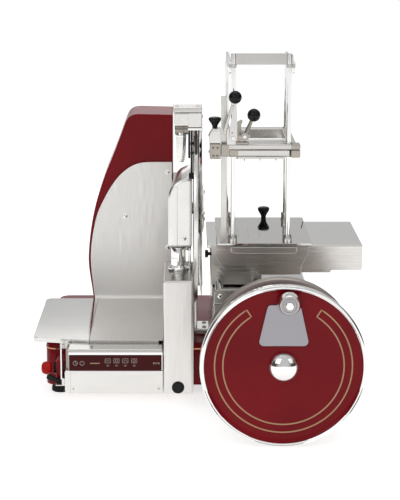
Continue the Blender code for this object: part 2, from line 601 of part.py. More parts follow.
for x, z in SPACER_SPOTS:
    deflector_solids.append(solid(disc, "Y", x, z, SPACER_R, SPACER_Y[0], SPACER_Y[1], TINY_STEPS))
node("slice_deflector", deflector_solids, STEEL)

# Knife drive cover, motor, inlet
node("drive_cover", [solid(shell, HOUSING_XZ, HOUSING_WALL, "Y", HOUSING_Y[0], HOUSING_Y[1], HOUSING_WALL)], RED,
     metallic=0, rough=PAINT_ROUGH)
node("drive_cover_back", [solid(prism, HOUSING_XZ, "Y", REAR_COVER_Y[0], REAR_COVER_Y[1])], RED, metallic=0,
     rough=PAINT_ROUGH)
node("motor", [solid(disc, "X", MOTOR_AXIS[0], MOTOR_AXIS[1], MOTOR_R, MOTOR_X[0], MOTOR_X[1], SMALL_STEPS),
               solid(box, MOTOR_FOOT_BOX),
               solid(disc, "X", MOTOR_AXIS[0], MOTOR_AXIS[1], MOTOR_SHAFT_R, MOTOR_SHAFT_X[0], MOTOR_SHAFT_X[1],
                     TINY_STEPS)], CAST)
inlet_outline = ((INLET_BOX[0], INLET_BOX[2]), (INLET_BOX[3], INLET_BOX[2]), (INLET_BOX[3], INLET_BOX[5]),
                 (INLET_BOX[0], INLET_BOX[5]))
node("power_inlet", [solid(shell, inlet_outline, INLET_WALL, "Y", INLET_BOX[1], INLET_BOX[4], INLET_FLOOR)], DARK,
     metallic=0, rough=PLASTIC_ROUGH)

# Knife, its shaft and guards
knife_pivot = (0, KNIFE_Y, KNIFE_Z)
node("knife", [solid(lathe, KNIFE_PROFILE, "X", KNIFE_Y, KNIFE_Z, FINE_STEPS)], CHROME, knife_pivot)
shaft_profile = ((0, KNIFE_SHAFT_X[0]), (KNIFE_SHAFT_R, KNIFE_SHAFT_X[0]), (KNIFE_SHAFT_R, KNIFE_FLANGE_X[0]),
                 (KNIFE_FLANGE_R, KNIFE_FLANGE_X[0]), (KNIFE_FLANGE_R, KNIFE_FLANGE_X[1]),
                 (KNIFE_SHAFT_R, KNIFE_FLANGE_X[1]), (KNIFE_SHAFT_R, KNIFE_NUT[1][1])) + KNIFE_NUT[1:]
node("knife_shaft", [solid(lathe, shaft_profile, "X", KNIFE_Y, KNIFE_Z, ROUND_STEPS)], STEEL, knife_pivot)
node("knife_bearing", [solid(tube, "X", KNIFE_Y, KNIFE_Z, KNIFE_BEARING_R[0], KNIFE_BEARING_R[1],
                             KNIFE_BEARING_X[0], KNIFE_BEARING_X[1])], BRASS)
node("knife_guard_ring", [solid(lathe, RING_PROFILE, "X", KNIFE_Y, KNIFE_Z, FINE_STEPS),
                          solid(arc_bar, "X", KNIFE_Y, KNIFE_Z, LIP_RADII[0], LIP_RADII[1], LIP_X[0], LIP_X[1],
                                LIP_ANGLES[0], LIP_ANGLES[1], LIP_STEPS),
                          solid(box, RING_FOOT_BOX), solid(box, RING_SOLE_BOX)], WHITE_CAST)
node("knife_hub_cover", [solid(lathe, HUB_DOME, "X", KNIFE_Y, KNIFE_Z, FINE_STEPS)], WHITE_CAST,
     holes=[solid(box, NOTCH_BOX)])
arm_outline = []
for k in range(SMALL_STEPS + 1):
    angle = math.pi / 2 + math.pi * k / SMALL_STEPS
    arm_outline.append((KNIFE_Y + ARM_HUB_R * math.cos(angle), KNIFE_Z + ARM_HUB_R * math.sin(angle)))
arm_outline += [(KNIFE_Y + ARM_HUB_R, ARM_BOX[2]), (ARM_BOX[4], ARM_BOX[2]), (ARM_BOX[4], ARM_BOX[5]),
                (KNIFE_Y + ARM_HUB_R, ARM_BOX[5])]
node("knife_arm", [solid(prism, arm_outline, "X", ARM_HUB_X[0], ARM_HUB_X[1]), solid(box, ARM_FLANGE_BOX)], CAST,
     holes=[solid(disc, "X", KNIFE_Y, KNIFE_Z, ARM_BORE_R, ARM_HUB_X[0] - WALL, ARM_HUB_X[1] + WALL)])

# Hand guard, post, latch
node("hand_guard", [solid(prism, GUARD_XZ, "Y", GUARD_Y[0], GUARD_Y[1])], WHITE_CAST,
     (POST_X, POST_Y, GUARD_XZ[0][1]), bevel=EDGE_MID)
foot = Vector(LATCH_FOOT)
latch_height = GUARD_XZ[0][1] - LATCH_CLEAR - foot.z
stud_foot = (foot.x, foot.y, POST_PROFILE[0][1])
node("guard_post", [solid(lathe, POST_PROFILE, "Z", POST_X, POST_Y, SMALL_STEPS),
                    solid(rod, stud_foot, foot - Vector((0, 0, GAP)), LATCH_PIVOT_R, LATCH_PIVOT_R)], CHROME)
node("latch_lever", [solid(rod, foot, foot + Vector((0, 0, latch_height)), LATCH_R[0], LATCH_R[1])], CHROME,
     LATCH_FOOT)

# Sharpener
node("sharpener_body", [solid(box, SHARP_BODY_BOX), solid(box, SHARP_BLOCK_BOX),
                        solid(disc, "X", SHARP_DRUM_Y, SHARP_DRUM_Z, SHARP_DRUM_R, SHARP_DRUM_X[0],
                              SHARP_DRUM_X[1]),
                        solid(lathe, SHARP_CONE, "Z", SHARP_CONE_X, SHARP_DRUM_Y, SMALL_STEPS),
                        solid(box, STONE_HANGER_BOX), solid(box, STONE_FOOT_BOX)], WHITE_CAST)
node("sharpener_cap", [solid(box, SHARP_CAP_BOX)], STEEL, bevel=EDGE_SMALL)
rod_low = (SHARP_ROD_X, SHARP_ROD_Y, SHARP_ROD_Z[0])
rod_high = (SHARP_ROD_X, SHARP_ROD_Y, SHARP_ROD_Z[1])
node("sharpener_rod", [solid(lathe, SHARP_KNOB, "Z", SHARP_ROD_X, SHARP_ROD_Y, TINY_STEPS),
                       solid(rod, rod_low, rod_high, SHARP_ROD_R, SHARP_ROD_R)], DARK, metallic=0,
     rough=PLASTIC_ROUGH)
node("sharpener_arm", [solid(box, SHARP_ARM_BOX), solid(box, SHARP_BASE_BOX)], CAST)
for name, spot in (("stone_coarse", STONE_AXIS_YZ), ("stone_fine", STONE_FINE_YZ)):
    stone_profile = ((0, STONE_SPINDLE_X[0]), (STONE_SPINDLE_R, STONE_SPINDLE_X[0]), (STONE_SPINDLE_R, STONE_X[0]),
                     (STONE_R, STONE_X[0]), (STONE_R, STONE_X[1]), (0, STONE_X[1]))
    node(name, [solid(lathe, stone_profile, "X", spot[0], spot[1], SMALL_STEPS)], STONE,
         (STONE_X[0], spot[0], spot[1]), metallic=0, rough=PLASTIC_ROUGH)

# Flywheel, crank plate, grip
wheel_pivot = (WHEEL_X, RIM_PROFILE[0][1], WHEEL_Z)
node("flywheel_rim", [solid(lathe, RIM_PROFILE, "Y", WHEEL_X, WHEEL_Z, FINE_STEPS)], CHROME, wheel_pivot)
node("flywheel_disc", [solid(lathe, DISC_PROFILE, "Y", WHEEL_X, WHEEL_Z, FINE_STEPS)], RED, wheel_pivot,
     metallic=0, rough=PAINT_ROUGH)
node("hub_cap", [solid(lathe, HUB_CAP, "Y", WHEEL_X, WHEEL_Z, ROUND_STEPS)], CHROME, wheel_pivot)
grip_x = WHEEL_X + GRIP_X
grip_z = WHEEL_Z + GRIP_Z
plate_outline = [(WHEEL_X + u, WHEEL_Z + v) for u, v in rounded(CRANK_PLATE_XZ, CRANK_PLATE_CORNER)]
node("crank_plate", [solid(prism, plate_outline, "Y", CRANK_PLATE_Y[0], CRANK_PLATE_Y[1]),
                     solid(lathe, PIN_PROFILE, "Y", grip_x, grip_z, SMALL_STEPS)], STEEL, wheel_pivot)
node("hand_grip", [solid(lathe, GRIP_PROFILE, "Y", grip_x, grip_z, ROUND_STEPS)], STEEL,
     (grip_x, GRIP_PROFILE[0][1], grip_z))
node("flywheel_shaft", [solid(ridged, "Y", WHEEL_X, WHEEL_Z, BEVEL_PROFILE, BEVEL_PINION_Y, 1, BEVEL_TEETH,
                              BEVEL_RIDGE),
                        solid(disc, "Y", WHEEL_X, WHEEL_Z, FLY_SHAFT_R, FLY_SHAFT_Y[0], FLY_SHAFT_Y[1])], STEEL,
     wheel_pivot)
node("shaft_housing", [solid(lathe, BACKING_PROFILE, "Y", WHEEL_X, WHEEL_Z, FINE_STEPS)], CAST)
node("shaft_sleeve", [solid(tube, "Y", WHEEL_X, WHEEL_Z, BUSH_RADII[0], BUSH_RADII[1], BUSH_SPAN[0],
                            BUSH_SPAN[1])], BRASS)

# Pedestal, cross shaft, connecting rod
pedestal_solids = [solid(shell, PEDESTAL_XZ, WALL, "Y", PEDESTAL_Y[0], PEDESTAL_Y[1], WALL),
                   solid(box, CROSS_WEB_BOX)]
for low, high in CROSS_BEARING_SPANS:
    pedestal_solids.append(solid(tube, "X", KNIFE_Y, WHEEL_Z, CROSS_BEARING_RADII[0], CROSS_BEARING_RADII[1], low,
                                 high))
node("pedestal", pedestal_solids, STEEL,
     holes=[solid(disc, "Y", WHEEL_X, WHEEL_Z, PEDESTAL_HOLE_R, PEDESTAL_Y[0] - WALL,
                  PEDESTAL_Y[0] + WALL + WALL)])
node("pedestal_cover", [solid(prism, PEDESTAL_XZ, "Y", PEDESTAL_COVER_Y[0], PEDESTAL_COVER_Y[1])], STEEL)
cross_pivot = (BEVEL_GEAR_X, KNIFE_Y, WHEEL_Z)
pin_y = KNIFE_Y
pin_z = WHEEL_Z + CRANK_THROW
node("cross_shaft", [solid(ridged, "X", KNIFE_Y, WHEEL_Z, BEVEL_PROFILE, BEVEL_GEAR_X, 1, BEVEL_TEETH,
                           BEVEL_RIDGE),
                     solid(disc, "X", KNIFE_Y, WHEEL_Z, CROSS_SHAFT_R, CROSS_SHAFT_X[0], CROSS_SHAFT_X[1]),
                     solid(disc, "X", KNIFE_Y, WHEEL_Z, CRANK_DISC_R, CRANK_DISC_X[0], CRANK_DISC_X[1],
                           ROUND_STEPS),
                     solid(disc, "X", pin_y, pin_z, CRANK_PIN_R, CRANK_PIN_X[0], CRANK_PIN_X[1])], STEEL,
     cross_pivot)
link_outline = []
for k in range(SMALL_STEPS + 1):
    angle = math.pi / 2 + math.pi * k / SMALL_STEPS
    link_outline.append((pin_y + ROD_EYE_R * math.cos(angle), pin_z + ROD_EYE_R * math.sin(angle)))
for k in range(SMALL_STEPS + 1):
    angle = math.pi * k / SMALL_STEPS - math.pi / 2
    link_outline.append((pin_y + ROD_LENGTH + ROD_EYE_R * math.cos(angle), pin_z + ROD_EYE_R * math.sin(angle)))
node("connecting_rod", [solid(prism, link_outline, "X", ROD_X[0], ROD_X[1])], STEEL, (ROD_X[0], pin_y, pin_z),
     holes=[solid(disc, "X", y, pin_z, ROD_BORE_R, ROD_X[0] - GAP, ROD_X[1] + GAP)
            for y in (pin_y, pin_y + ROD_LENGTH)])

# Rails and carriage
rail_solids = [solid(box, RAIL_BED_BOX)] + [solid(box, size) for size in RAIL_END_BOXES]
for x in RAIL_X:
    rail_solids.append(solid(disc, "Y", x, RAIL_Z, RAIL_R, RAIL_Y[0], RAIL_Y[1]))
node("carriage_rails", rail_solids, CHROME)
node("carriage_slide", [solid(box, SLIDE_BOX)], CAST,
     holes=[solid(disc, "Y", x, RAIL_Z, SLIDE_BORE_R, SLIDE_BOX[1] - WALL, SLIDE_BOX[4] + WALL) for x in RAIL_X])
node("carriage_table", [solid(box, TABLE_BOX), solid(box, TABLE_RIB_BOX), solid(box, FEED_BEARING_BOX),
                        solid(box, INDEX_BOSS_BOX)], STEEL,
     holes=[solid(disc, "X", FEED_SCREW_YZ[0], FEED_SCREW_YZ[1], FEED_BEARING_R, FEED_BEARING_BOX[0] - WALL,
                  FEED_BEARING_BOX[3] + WALL)])
node("carriage_skirt", [solid(prism, SKIRT_LEFT_XZ, "Y", SKIRT_LEFT_Y[0], SKIRT_LEFT_Y[1]),
                        solid(prism, SKIRT_RIGHT_XZ, "Y", SKIRT_RIGHT_Y[0], SKIRT_RIGHT_Y[1])], STEEL)
handle_outline = rectangle(HANDLE_BOX[0], HANDLE_BOX[2], HANDLE_BOX[3], HANDLE_BOX[5], HANDLE_CORNER)
handle_solids = [solid(prism, handle_outline, "Y", HANDLE_BOX[1], HANDLE_BOX[4])]
handle_z = (HANDLE_BOX[2] + HANDLE_BOX[5]) / 2
for x in HANDLE_FEET_X:
    handle_solids.append(solid(disc, "Y", x, handle_z, HANDLE_FOOT_R, HANDLE_BOX[4] - GAP, SKIRT_LEFT_Y[0] - GAP,
                               TINY_STEPS))
node("carriage_handle", handle_solids, STEEL)
node("index_knob", [solid(lathe, INDEX_KNOB, "X", INDEX_KNOB_YZ[0], INDEX_KNOB_YZ[1], SMALL_STEPS)], DARK,
     (INDEX_KNOB[-1][1], INDEX_KNOB_YZ[0], INDEX_KNOB_YZ[1]), metallic=0, rough=PLASTIC_ROUGH)

# Meat plate, clamp frame
plate_solids = [solid(box, MEAT_PLATE_BOX)]
post_holes = []
for x, y in POST_SPOTS:
    plate_solids.append(solid(disc, "Z", x, y, COLLAR_RADIUS, COLLAR_Z[0], COLLAR_Z[1]))
    post_holes.append(solid(disc, "Z", x, y, POST_HOLE_R, COLLAR_Z[0] + GAP, COLLAR_Z[1] + GAP, TINY_STEPS))
tooth_step = (RACK_TEETH_Z[1] - RACK_TEETH_Z[0]) / RACK_TEETH
rack_outline = [(RACK_BOX[3], RACK_BOX[2]), (RACK_BOX[3], RACK_BOX[5]), (RACK_BOX[0], RACK_BOX[5])]
for k in range(RACK_TEETH):
    rack_outline.append((RACK_BOX[0], RACK_TEETH_Z[1] - tooth_step * k))
    rack_outline.append((RACK_BOX[0] + RACK_TOOTH, RACK_TEETH_Z[1] - tooth_step * k - tooth_step / 2))
rack_outline.append((RACK_BOX[0], RACK_TEETH_Z[0]))
rack_outline.append((RACK_BOX[0], RACK_BOX[2]))
plate_solids.append(solid(prism, rack_outline, "Y", RACK_BOX[1], RACK_BOX[4]))
node("meat_plate", plate_solids, STEEL, holes=post_holes)
frame_solids = [solid(box, STRAP_FRONT_BOX), solid(box, STRAP_SIDE_LEFT_BOX), solid(box, STRAP_SIDE_RIGHT_BOX)]
for (x, y), top in zip(POST_SPOTS, POST_TOPS):
    frame_solids.append(solid(disc, "Z", x, y, POST_R, POST_FOOT_Z, top, TINY_STEPS))
node("clamp_frame", frame_solids, CHROME)
node("table_knob", [solid(lathe, TABLE_KNOB, "Z", TABLE_KNOB_XY[0], TABLE_KNOB_XY[1], SMALL_STEPS)], DARK,
     (TABLE_KNOB_XY[0], TABLE_KNOB_XY[1], TABLE_KNOB[0][1]), metallic=0, rough=PLASTIC_ROUGH)
thread = [(0, FEED_SCREW_X[0])]
pitch = (FEED_SCREW_X[1] - FEED_SCREW_X[0]) / FEED_THREADS
for k in range(FEED_THREADS):
    thread.append((FEED_SCREW_R, FEED_SCREW_X[0] + pitch * k))
    thread.append((FEED_SCREW_R - FEED_THREAD_R, FEED_SCREW_X[0] + pitch * k + pitch / 2))
thread.append((FEED_SCREW_R, FEED_SCREW_X[1]))
thread.append((0, FEED_SCREW_X[1]))
node("feed_screw", [solid(lathe, thread, "X", FEED_SCREW_YZ[0], FEED_SCREW_YZ[1], TINY_STEPS)], STEEL,
     (FEED_SCREW_X[0], FEED_SCREW_YZ[0], FEED_SCREW_YZ[1]))

# Clamp
lever_pins = [solid(disc, "Y", pivot[0], pivot[1], LEVER_PIN_R, LEVER_PIN_Y[0], LEVER_PIN_Y[1], TINY_STEPS)
              for pivot in (LEVER1_PIVOT, LEVER2_PIVOT)]
node("clamp_crosshead", [solid(box, CROSS_FRONT_BOX), solid(box, CROSS_REAR_BOX), solid(box, CROSS_SIDE_LEFT_BOX),
                         solid(box, CROSS_SIDE_RIGHT_BOX), solid(box, PRESS_ARM_BOX), solid(box, CROSS_END_BOX),
                         solid(box, CROSS_LINK_BOX), solid(box, LEVER_BRIDGE_BOX), solid(box, LEVER1_BLOCK_BOX),
                         solid(box, LEVER2_BLOCK_BOX)] + lever_pins,
     STEEL, holes=[solid(disc, "Z", x, y, CROSS_BORE_R, CROSS_FRONT_BOX[2] - WALL, CROSS_FRONT_BOX[5] + WALL,
                         TINY_STEPS) for x, y in POST_SPOTS])
middle_x = (PRESS_PLATE_BOX[0] + PRESS_PLATE_BOX[3]) / 2
middle_y = (PRESS_PLATE_BOX[1] + PRESS_PLATE_BOX[4]) / 2
press_solids = [solid(box, PRESS_PLATE_BOX), solid(box, PRESS_RIB_BOX),
                solid(disc, "Z", middle_x, middle_y, PRESS_STEM_R, PRESS_STEM_Z[0], PRESS_STEM_Z[1], TINY_STEPS)]
spike_top = PRESS_PLATE_BOX[2] + GAP
spike_profile = ((0, spike_top), (SPIKE_R, spike_top), (0, spike_top - SPIKE_LENGTH))
for i in range(SPIKE_COLUMNS):
    for j in range(SPIKE_ROWS):
        x = middle_x + (i - (SPIKE_COLUMNS - 1) / 2) * SPIKE_STEP_X
        y = middle_y + (j - (SPIKE_ROWS - 1) / 2) * SPIKE_STEP_Y
        press_solids.append(solid(lathe, spike_profile, "Z", x, y, TINY_STEPS))
node("press_plate", press_solids, STEEL)
block_solids = [solid(box, PAWL_LOWER_BOX), solid(box, PAWL_UPPER_BOX)]
node("clamp_block", block_solids, STEEL)
node("clamp_knob", [solid(lathe, PRESS_KNOB, "Z", PRESS_KNOB_XY[0], PRESS_KNOB_XY[1], SMALL_STEPS)], DARK,
     (PRESS_KNOB_XY[0], PRESS_KNOB_XY[1], PRESS_KNOB[0][1]), metallic=0, rough=PLASTIC_ROUGH)
for name, pivot, tip, eye in (("lever_left", LEVER1_PIVOT, LEVER1_BALL, LEVER_EYE_R),
                              ("lever_right", LEVER2_PIVOT, LEVER2_BALL, LEVER_BOSS_R)):
    start = Vector((pivot[0], LEVER_Y, pivot[1]))
    end = Vector((tip[0], LEVER_Y, tip[1]))
    run = (end - start).normalized()
    bore_reach = (LEVER_BORE_R + eye) / 2
    node(name, [solid(tube, "Y", pivot[0], pivot[1], LEVER_BORE_R, eye, LEVER_Y - LEVER_HALF,
                      LEVER_Y + LEVER_HALF),
                solid(rod, start + run * bore_reach, end - run * (BALL_R + GAP), LEVER_ARM_R[0], LEVER_ARM_R[1])],
         STEEL, start)
    node(name + "_ball", [solid(ball, end, BALL_R)], DARK, start, metallic=0, rough=PLASTIC_ROUGH)
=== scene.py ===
"""Looks of the hand crank meat slicer: finishes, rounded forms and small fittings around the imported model.

Boxes are given by their low and high corners, turned profiles as (radius, place along the axis), and angles
in degrees.
"""

import json
import math

import bmesh
import bpy
from mathutils import Matrix, Vector


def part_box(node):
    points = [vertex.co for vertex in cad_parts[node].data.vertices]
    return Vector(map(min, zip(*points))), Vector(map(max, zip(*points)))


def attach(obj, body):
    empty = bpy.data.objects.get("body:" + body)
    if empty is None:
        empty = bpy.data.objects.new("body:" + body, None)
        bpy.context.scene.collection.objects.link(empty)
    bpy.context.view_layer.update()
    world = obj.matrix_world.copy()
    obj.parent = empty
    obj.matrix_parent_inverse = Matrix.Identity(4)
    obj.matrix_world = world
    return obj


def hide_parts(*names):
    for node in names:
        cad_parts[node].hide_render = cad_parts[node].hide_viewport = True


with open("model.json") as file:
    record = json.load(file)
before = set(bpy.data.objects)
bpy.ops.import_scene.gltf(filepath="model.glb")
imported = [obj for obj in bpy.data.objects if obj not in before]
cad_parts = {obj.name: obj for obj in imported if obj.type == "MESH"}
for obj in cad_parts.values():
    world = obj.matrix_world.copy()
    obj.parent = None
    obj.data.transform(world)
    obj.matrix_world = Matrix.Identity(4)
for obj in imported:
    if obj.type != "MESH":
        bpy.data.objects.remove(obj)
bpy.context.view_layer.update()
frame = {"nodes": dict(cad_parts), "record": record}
NODES = frame["nodes"]
SLOT_OF = {entry["node"]: entry["material_slot"] for entry in frame["record"]["subparts"]}
BODY_OF = {node: body for body, nodes in frame["record"]["behaviour"]["bodies"].items() for node in nodes}

# The front column's low corner in the layout fixes where the frame lies
MM = 0.001
COLUMN_CORNER = Vector((-40.5, -4, 34.5))
OFFSET = Vector(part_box("front_column")[0]) - COLUMN_CORNER * MM

STEPS = 96
SMALL = 40
SHARP = math.radians(35)
HAIR = 0.2

# The hidden works keep their solids. Of every other node the first piece takes the solid's place
HIDDEN = ("motor", "knife_arm", "knife_bearing", "knife_shaft", "flywheel_shaft", "shaft_sleeve",
          "cross_shaft", "connecting_rod", "carriage_slide", "feed_screw")
dressed = set(HIDDEN)


# Materials
def add(tree, kind, feeds=(), **values):
    """New shader node: values go to inputs by name, feeds pair an input with another node's output."""
    node = tree.nodes.new("ShaderNode" + kind)
    for key, value in values.items():
        node.inputs[key.replace("_", " ")].default_value = value
    for key, output in feeds:
        tree.links.new(output, node.inputs[key])
    return node


def shader(name, colour, metallic=0.0, rough=0.4, **sockets):
    """New Principled material; sockets are set by name with underscores for blanks."""
    mat = bpy.data.materials.new(name)
    mat.use_nodes = True
    bsdf = mat.node_tree.nodes["Principled BSDF"]
    bsdf.inputs["Base Color"].default_value = (*colour, 1)
    bsdf.inputs["Metallic"].default_value = metallic
    bsdf.inputs["Roughness"].default_value = rough
    for key, value in sockets.items():
        bsdf.inputs[key.replace("_", " ")].default_value = value
    return mat


def feed(mat, socket, output):
    """Joins an output to a socket of the material's shader."""
    tree = mat.node_tree
    tree.links.new(output, tree.nodes["Principled BSDF"].inputs[socket])


def grain(mat, scale, detail, stretch=(1, 1, 1)):
    """Noise in object space, drawn out along one axis when stretch says so."""
    tree = mat.node_tree
    where = add(tree, "TexCoord").outputs["Object"]
    mapped = add(tree, "Mapping", [("Vector", where)], Scale=stretch).outputs["Vector"]
    return add(tree, "TexNoise", [("Vector", mapped)], Scale=scale, Detail=detail).outputs["Fac"]


def spread(mat, factor, low, high, at=(0.3, 0.7)):
    """Roughness between low and high by the factor."""
    ranged = add(mat.node_tree, "MapRange", [("Value", factor)], From_Min=at[0], From_Max=at[1], To_Min=low,
                 To_Max=high)
    feed(mat, "Roughness", ranged.outputs["Result"])


def tint(mat, factor, low, high):
    """Colour between low and high by the factor."""
    ramp = add(mat.node_tree, "ValToRGB", [("Fac", factor)])
    for element, place, colour in zip(ramp.color_ramp.elements, (0.3, 0.7), (low, high)):
        element.position = place
        element.color = (*colour, 1)
    feed(mat, "Base Color", ramp.outputs["Color"])


def relief(mat, factor, strength, distance):
    """Bump by the factor; the distance is in metres."""
    bump = add(mat.node_tree, "Bump", [("Height", factor)], Strength=strength, Distance=distance)
    feed(mat, "Normal", bump.outputs["Normal"])


def brushed(name, colour, rough, axis, darker=0.86):
    """Sheet steel with fine brush lines along the axis."""
    mat = shader(name, colour, 1.0, rough)
    along = {"X": (0.02, 1, 1), "Y": (1, 0.02, 1), "Z": (1, 1, 0.02)}[axis]
    lines = grain(mat, 900, 3.0, along)
    clouds = grain(mat, 9, 4.0)
    tint(mat, clouds, [c * darker for c in colour], colour)
    spread(mat, lines, rough * 0.75, rough * 1.3)
    relief(mat, lines, 0.10, 0.0002)
    return mat


def polished(name, colour, rough, smudge=0.05):
    mat = shader(name, colour, 1.0, rough)
    spread(mat, grain(mat, 22, 5.0), rough, rough + smudge, (0.4, 0.75))
    return mat


def cast(name, colour, rough, bumps=0.12):
    """Cast and tumbled metal with a fine soft grain."""
    mat = shader(name, colour, 1.0, rough)
    fine = grain(mat, 700, 4.0)
    tint(mat, grain(mat, 14, 5.0), [c * 0.88 for c in colour], colour)
    spread(mat, fine, rough * 0.8, rough * 1.25)
    relief(mat, fine, bumps, 0.0003)
    return mat


def enamel(name, colour, deep):
    """Stoved gloss enamel: clear coat over a colour that deepens in soft clouds, with faint orange peel."""
    mat = shader(name, colour, 0.0, 0.26, Specular_IOR_Level=0.10, Coat_Weight=0.12, Coat_Roughness=0.03)
    tint(mat, grain(mat, 6, 3.0), deep, colour)
    relief(mat, grain(mat, 260, 2.0), 0.03, 0.0004)
    return mat


def moulded(name, colour, rough, bumps=0.1, scale=900):
    """Moulded plastic or rubber with slight texture."""
    mat = shader(name, colour, 0.0, rough, Specular_IOR_Level=0.22)
    fine = grain(mat, scale, 3.0)
    tint(mat, grain(mat, 40, 4.0), [c * 0.7 for c in colour], colour)
    spread(mat, fine, rough * 0.85, rough * 1.2)
    relief(mat, fine, bumps, 0.0003)
    return mat


def ringed(name, colour, rough, axis):
    """Faced on a lathe: fine rings about an axis through the object's origin."""
    mat = shader(name, colour, 1.0, rough)
    where = add(mat.node_tree, "TexCoord").outputs["Object"]
    wave = add(mat.node_tree, "TexWave", [("Vector", where)], Scale=420, Distortion=0.6, Detail=3)
    wave.wave_type = "RINGS"
    wave.rings_direction = axis
    spread(mat, wave.outputs["Fac"], rough * 0.7, rough * 1.35, (0, 1))
    relief(mat, wave.outputs["Fac"], 0.04, 0.0001)
    return mat


RED = (0.285, 0.005, 0.011)
RED_DEEP = (0.205, 0.003, 0.007)
STEEL = (0.72, 0.70, 0.67)
PALE = (0.83, 0.82, 0.795)
SATIN = (0.80, 0.785, 0.76)
MAT = {
    "red": enamel("red_enamel", RED, RED_DEEP),
    "red_cast": enamel("red_casting", RED, RED_DEEP),
    # The panel strip's red is a much darker copy of the red enamel: painted shade, as the panel faces darker
    # surroundings.
    "red_panel_painted_shade": enamel("red_panel_painted_shade", (0.085, 0.0015, 0.001), (0.06, 0.001, 0.001)),
    "steel_x": brushed("brushed_steel_x", STEEL, 0.22, "X"),
    "steel_y": brushed("brushed_steel_y", STEEL, 0.22, "Y"),
    "steel_z": brushed("brushed_steel_z", STEEL, 0.22, "Z"),
    "satin_x": brushed("satin_steel_x", SATIN, 0.38, "X", 0.96),
    "satin_z": brushed("satin_steel_z", SATIN, 0.38, "Z", 0.96),
    "plate": brushed("polished_sheet", (0.74, 0.73, 0.70), 0.10, "X", 0.95),
    "meat": brushed("meat_plate_steel", (0.62, 0.61, 0.58), 0.06, "Y", 0.96),
    # A polished plate far darker than polished steel: its blue grey is painted reflection.
    "painted_reflection_plate": polished("polished_plate_painted_reflection", (0.315, 0.305, 0.33), 0.22, 0.03),
    "chrome": polished("chrome", (0.84, 0.84, 0.83), 0.035),
    # Dark warm metal; on the sharpener drum it is painted dark reflection.
    "dark_chrome": polished("dark_metal", (0.30, 0.27, 0.24), 0.16),
    "cast": cast("satin_casting", (0.58, 0.56, 0.52), 0.36),
    # Darker, warmer casting; on the crosshead's end bars it is painted shade.
    "dark_cast": cast("dark_cast_metal", (0.52, 0.48, 0.43), 0.38, 0.3),
    "pale": cast("pale_polished_casting", PALE, 0.24, 0.05),
    "drum": cast("matte_casting", (0.46, 0.42, 0.39), 0.42),
    "turned": ringed("turned_steel", (0.72, 0.71, 0.69), 0.16, "Y"),
    "grip_end": ringed("grip_face", (0.42, 0.40, 0.41), 0.34, "Y"),
    "blade": ringed("ground_blade", (0.70, 0.68, 0.65), 0.14, "X"),
    "black": moulded("black_plastic", (0.010, 0.010, 0.011), 0.14, 0.04),
    "rubber": moulded("rubber", (0.022, 0.022, 0.022), 0.62, 0.3, 500),
    "stop": moulded("stop_red", (0.56, 0.006, 0.003), 0.38, 0.05),
    "bronze": cast("bronze", (0.62, 0.38, 0.19), 0.30, 0.06),
    "copper": brushed("copper_trim", (0.55, 0.26, 0.15), 0.22, "X"),
    "gold": shader("gold_line", (0.60, 0.36, 0.20), 0.0, 0.35),
    "ink": shader("panel_print", (0.62, 0.54, 0.52), 0.0, 0.4),
    "stone": moulded("grinding_stone", (0.075, 0.068, 0.063), 0.85, 0.9, 1600),
    "groove": moulded("groove_shadow", (0.03, 0.028, 0.027), 0.5, 0.1),
}
SLOT_MAT = {"red_enamel": "red", "brushed_steel": "steel_z", "brushed_casting": "satin_z", "chrome": "chrome",
            "cast_metal": "cast", "pale_cast": "pale", "red_casting": "red_cast", "black_plastic": "black",
            "rubber": "rubber", "stop_red": "stop", "bronze": "bronze", "grinding_stone": "stone"}
for node, obj in NODES.items():
    obj.data.materials.clear()
    obj.data.materials.append(MAT[SLOT_MAT[SLOT_OF[node]]])


# Making pieces
def soften(obj, width, segments, harden=True):
    """Rounds the sharp edges of an object; the width is in millimetres."""
    edge = obj.modifiers.new("edge", "BEVEL")
    edge.width = width * MM
    edge.segments = segments
    edge.limit_method = "ANGLE"
    edge.angle_limit = SHARP
    edge.harden_normals = harden


def finish(name, bm, mat, node, bevel=0.0, segments=3, origin=None, weld=True):
    """Piece from a mesh in the layout, which rides with the node's body and takes the place of the node's
    solid.
    """
    if weld:
        bmesh.ops.remove_doubles(bm, verts=bm.verts, dist=HAIR / 10)
    bmesh.ops.recalc_face_normals(bm, faces=bm.faces)
    centre = Vector(origin) if origin else Vector((0, 0, 0))
    bmesh.ops.translate(bm, verts=bm.verts, vec=-centre)
    bmesh.ops.scale(bm, verts=bm.verts, vec=(MM, MM, MM))
    for face in bm.faces:
        face.smooth = True
    mesh = bpy.data.meshes.new(name)
    bm.to_mesh(mesh)
    bm.free()
    mesh.set_sharp_from_angle(angle=SHARP)
    obj = bpy.data.objects.new(name, mesh)
    obj.location = centre * MM + OFFSET
    bpy.context.scene.collection.objects.link(obj)
    mesh.materials.append(MAT[mat])
    if bevel:
        soften(obj, bevel, segments)
    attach(obj, BODY_OF[node])
    replace = {node} - dressed
    if replace:
        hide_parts(*replace)
    dressed.add(node)


def spot(axis, u, v, t):
    """Point with u, v across the axis and t along it."""
    return Vector({"X": (t, u, v), "Y": (u, t, v), "Z": (u, v, t)}[axis])


def turn(bm, profile, axis, u=0, v=0, steps=STEPS, closed=True):
    """Profile of (radius, place along the axis) spun about the axis through u, v."""
    verts = [bm.verts.new(spot(axis, u + r, v, t)) for r, t in profile]
    loop = list(zip(verts, verts[1:] + verts[:1])) if closed else list(zip(verts, verts[1:]))
    edges = [bm.edges.new(pair) for pair in loop]
    direction = spot(axis, 0, 0, 1)
    bmesh.ops.spin(bm, geom=verts + edges, cent=spot(axis, u, v, 0), axis=direction, angle=2 * math.pi,
                   steps=steps, use_merge=True)


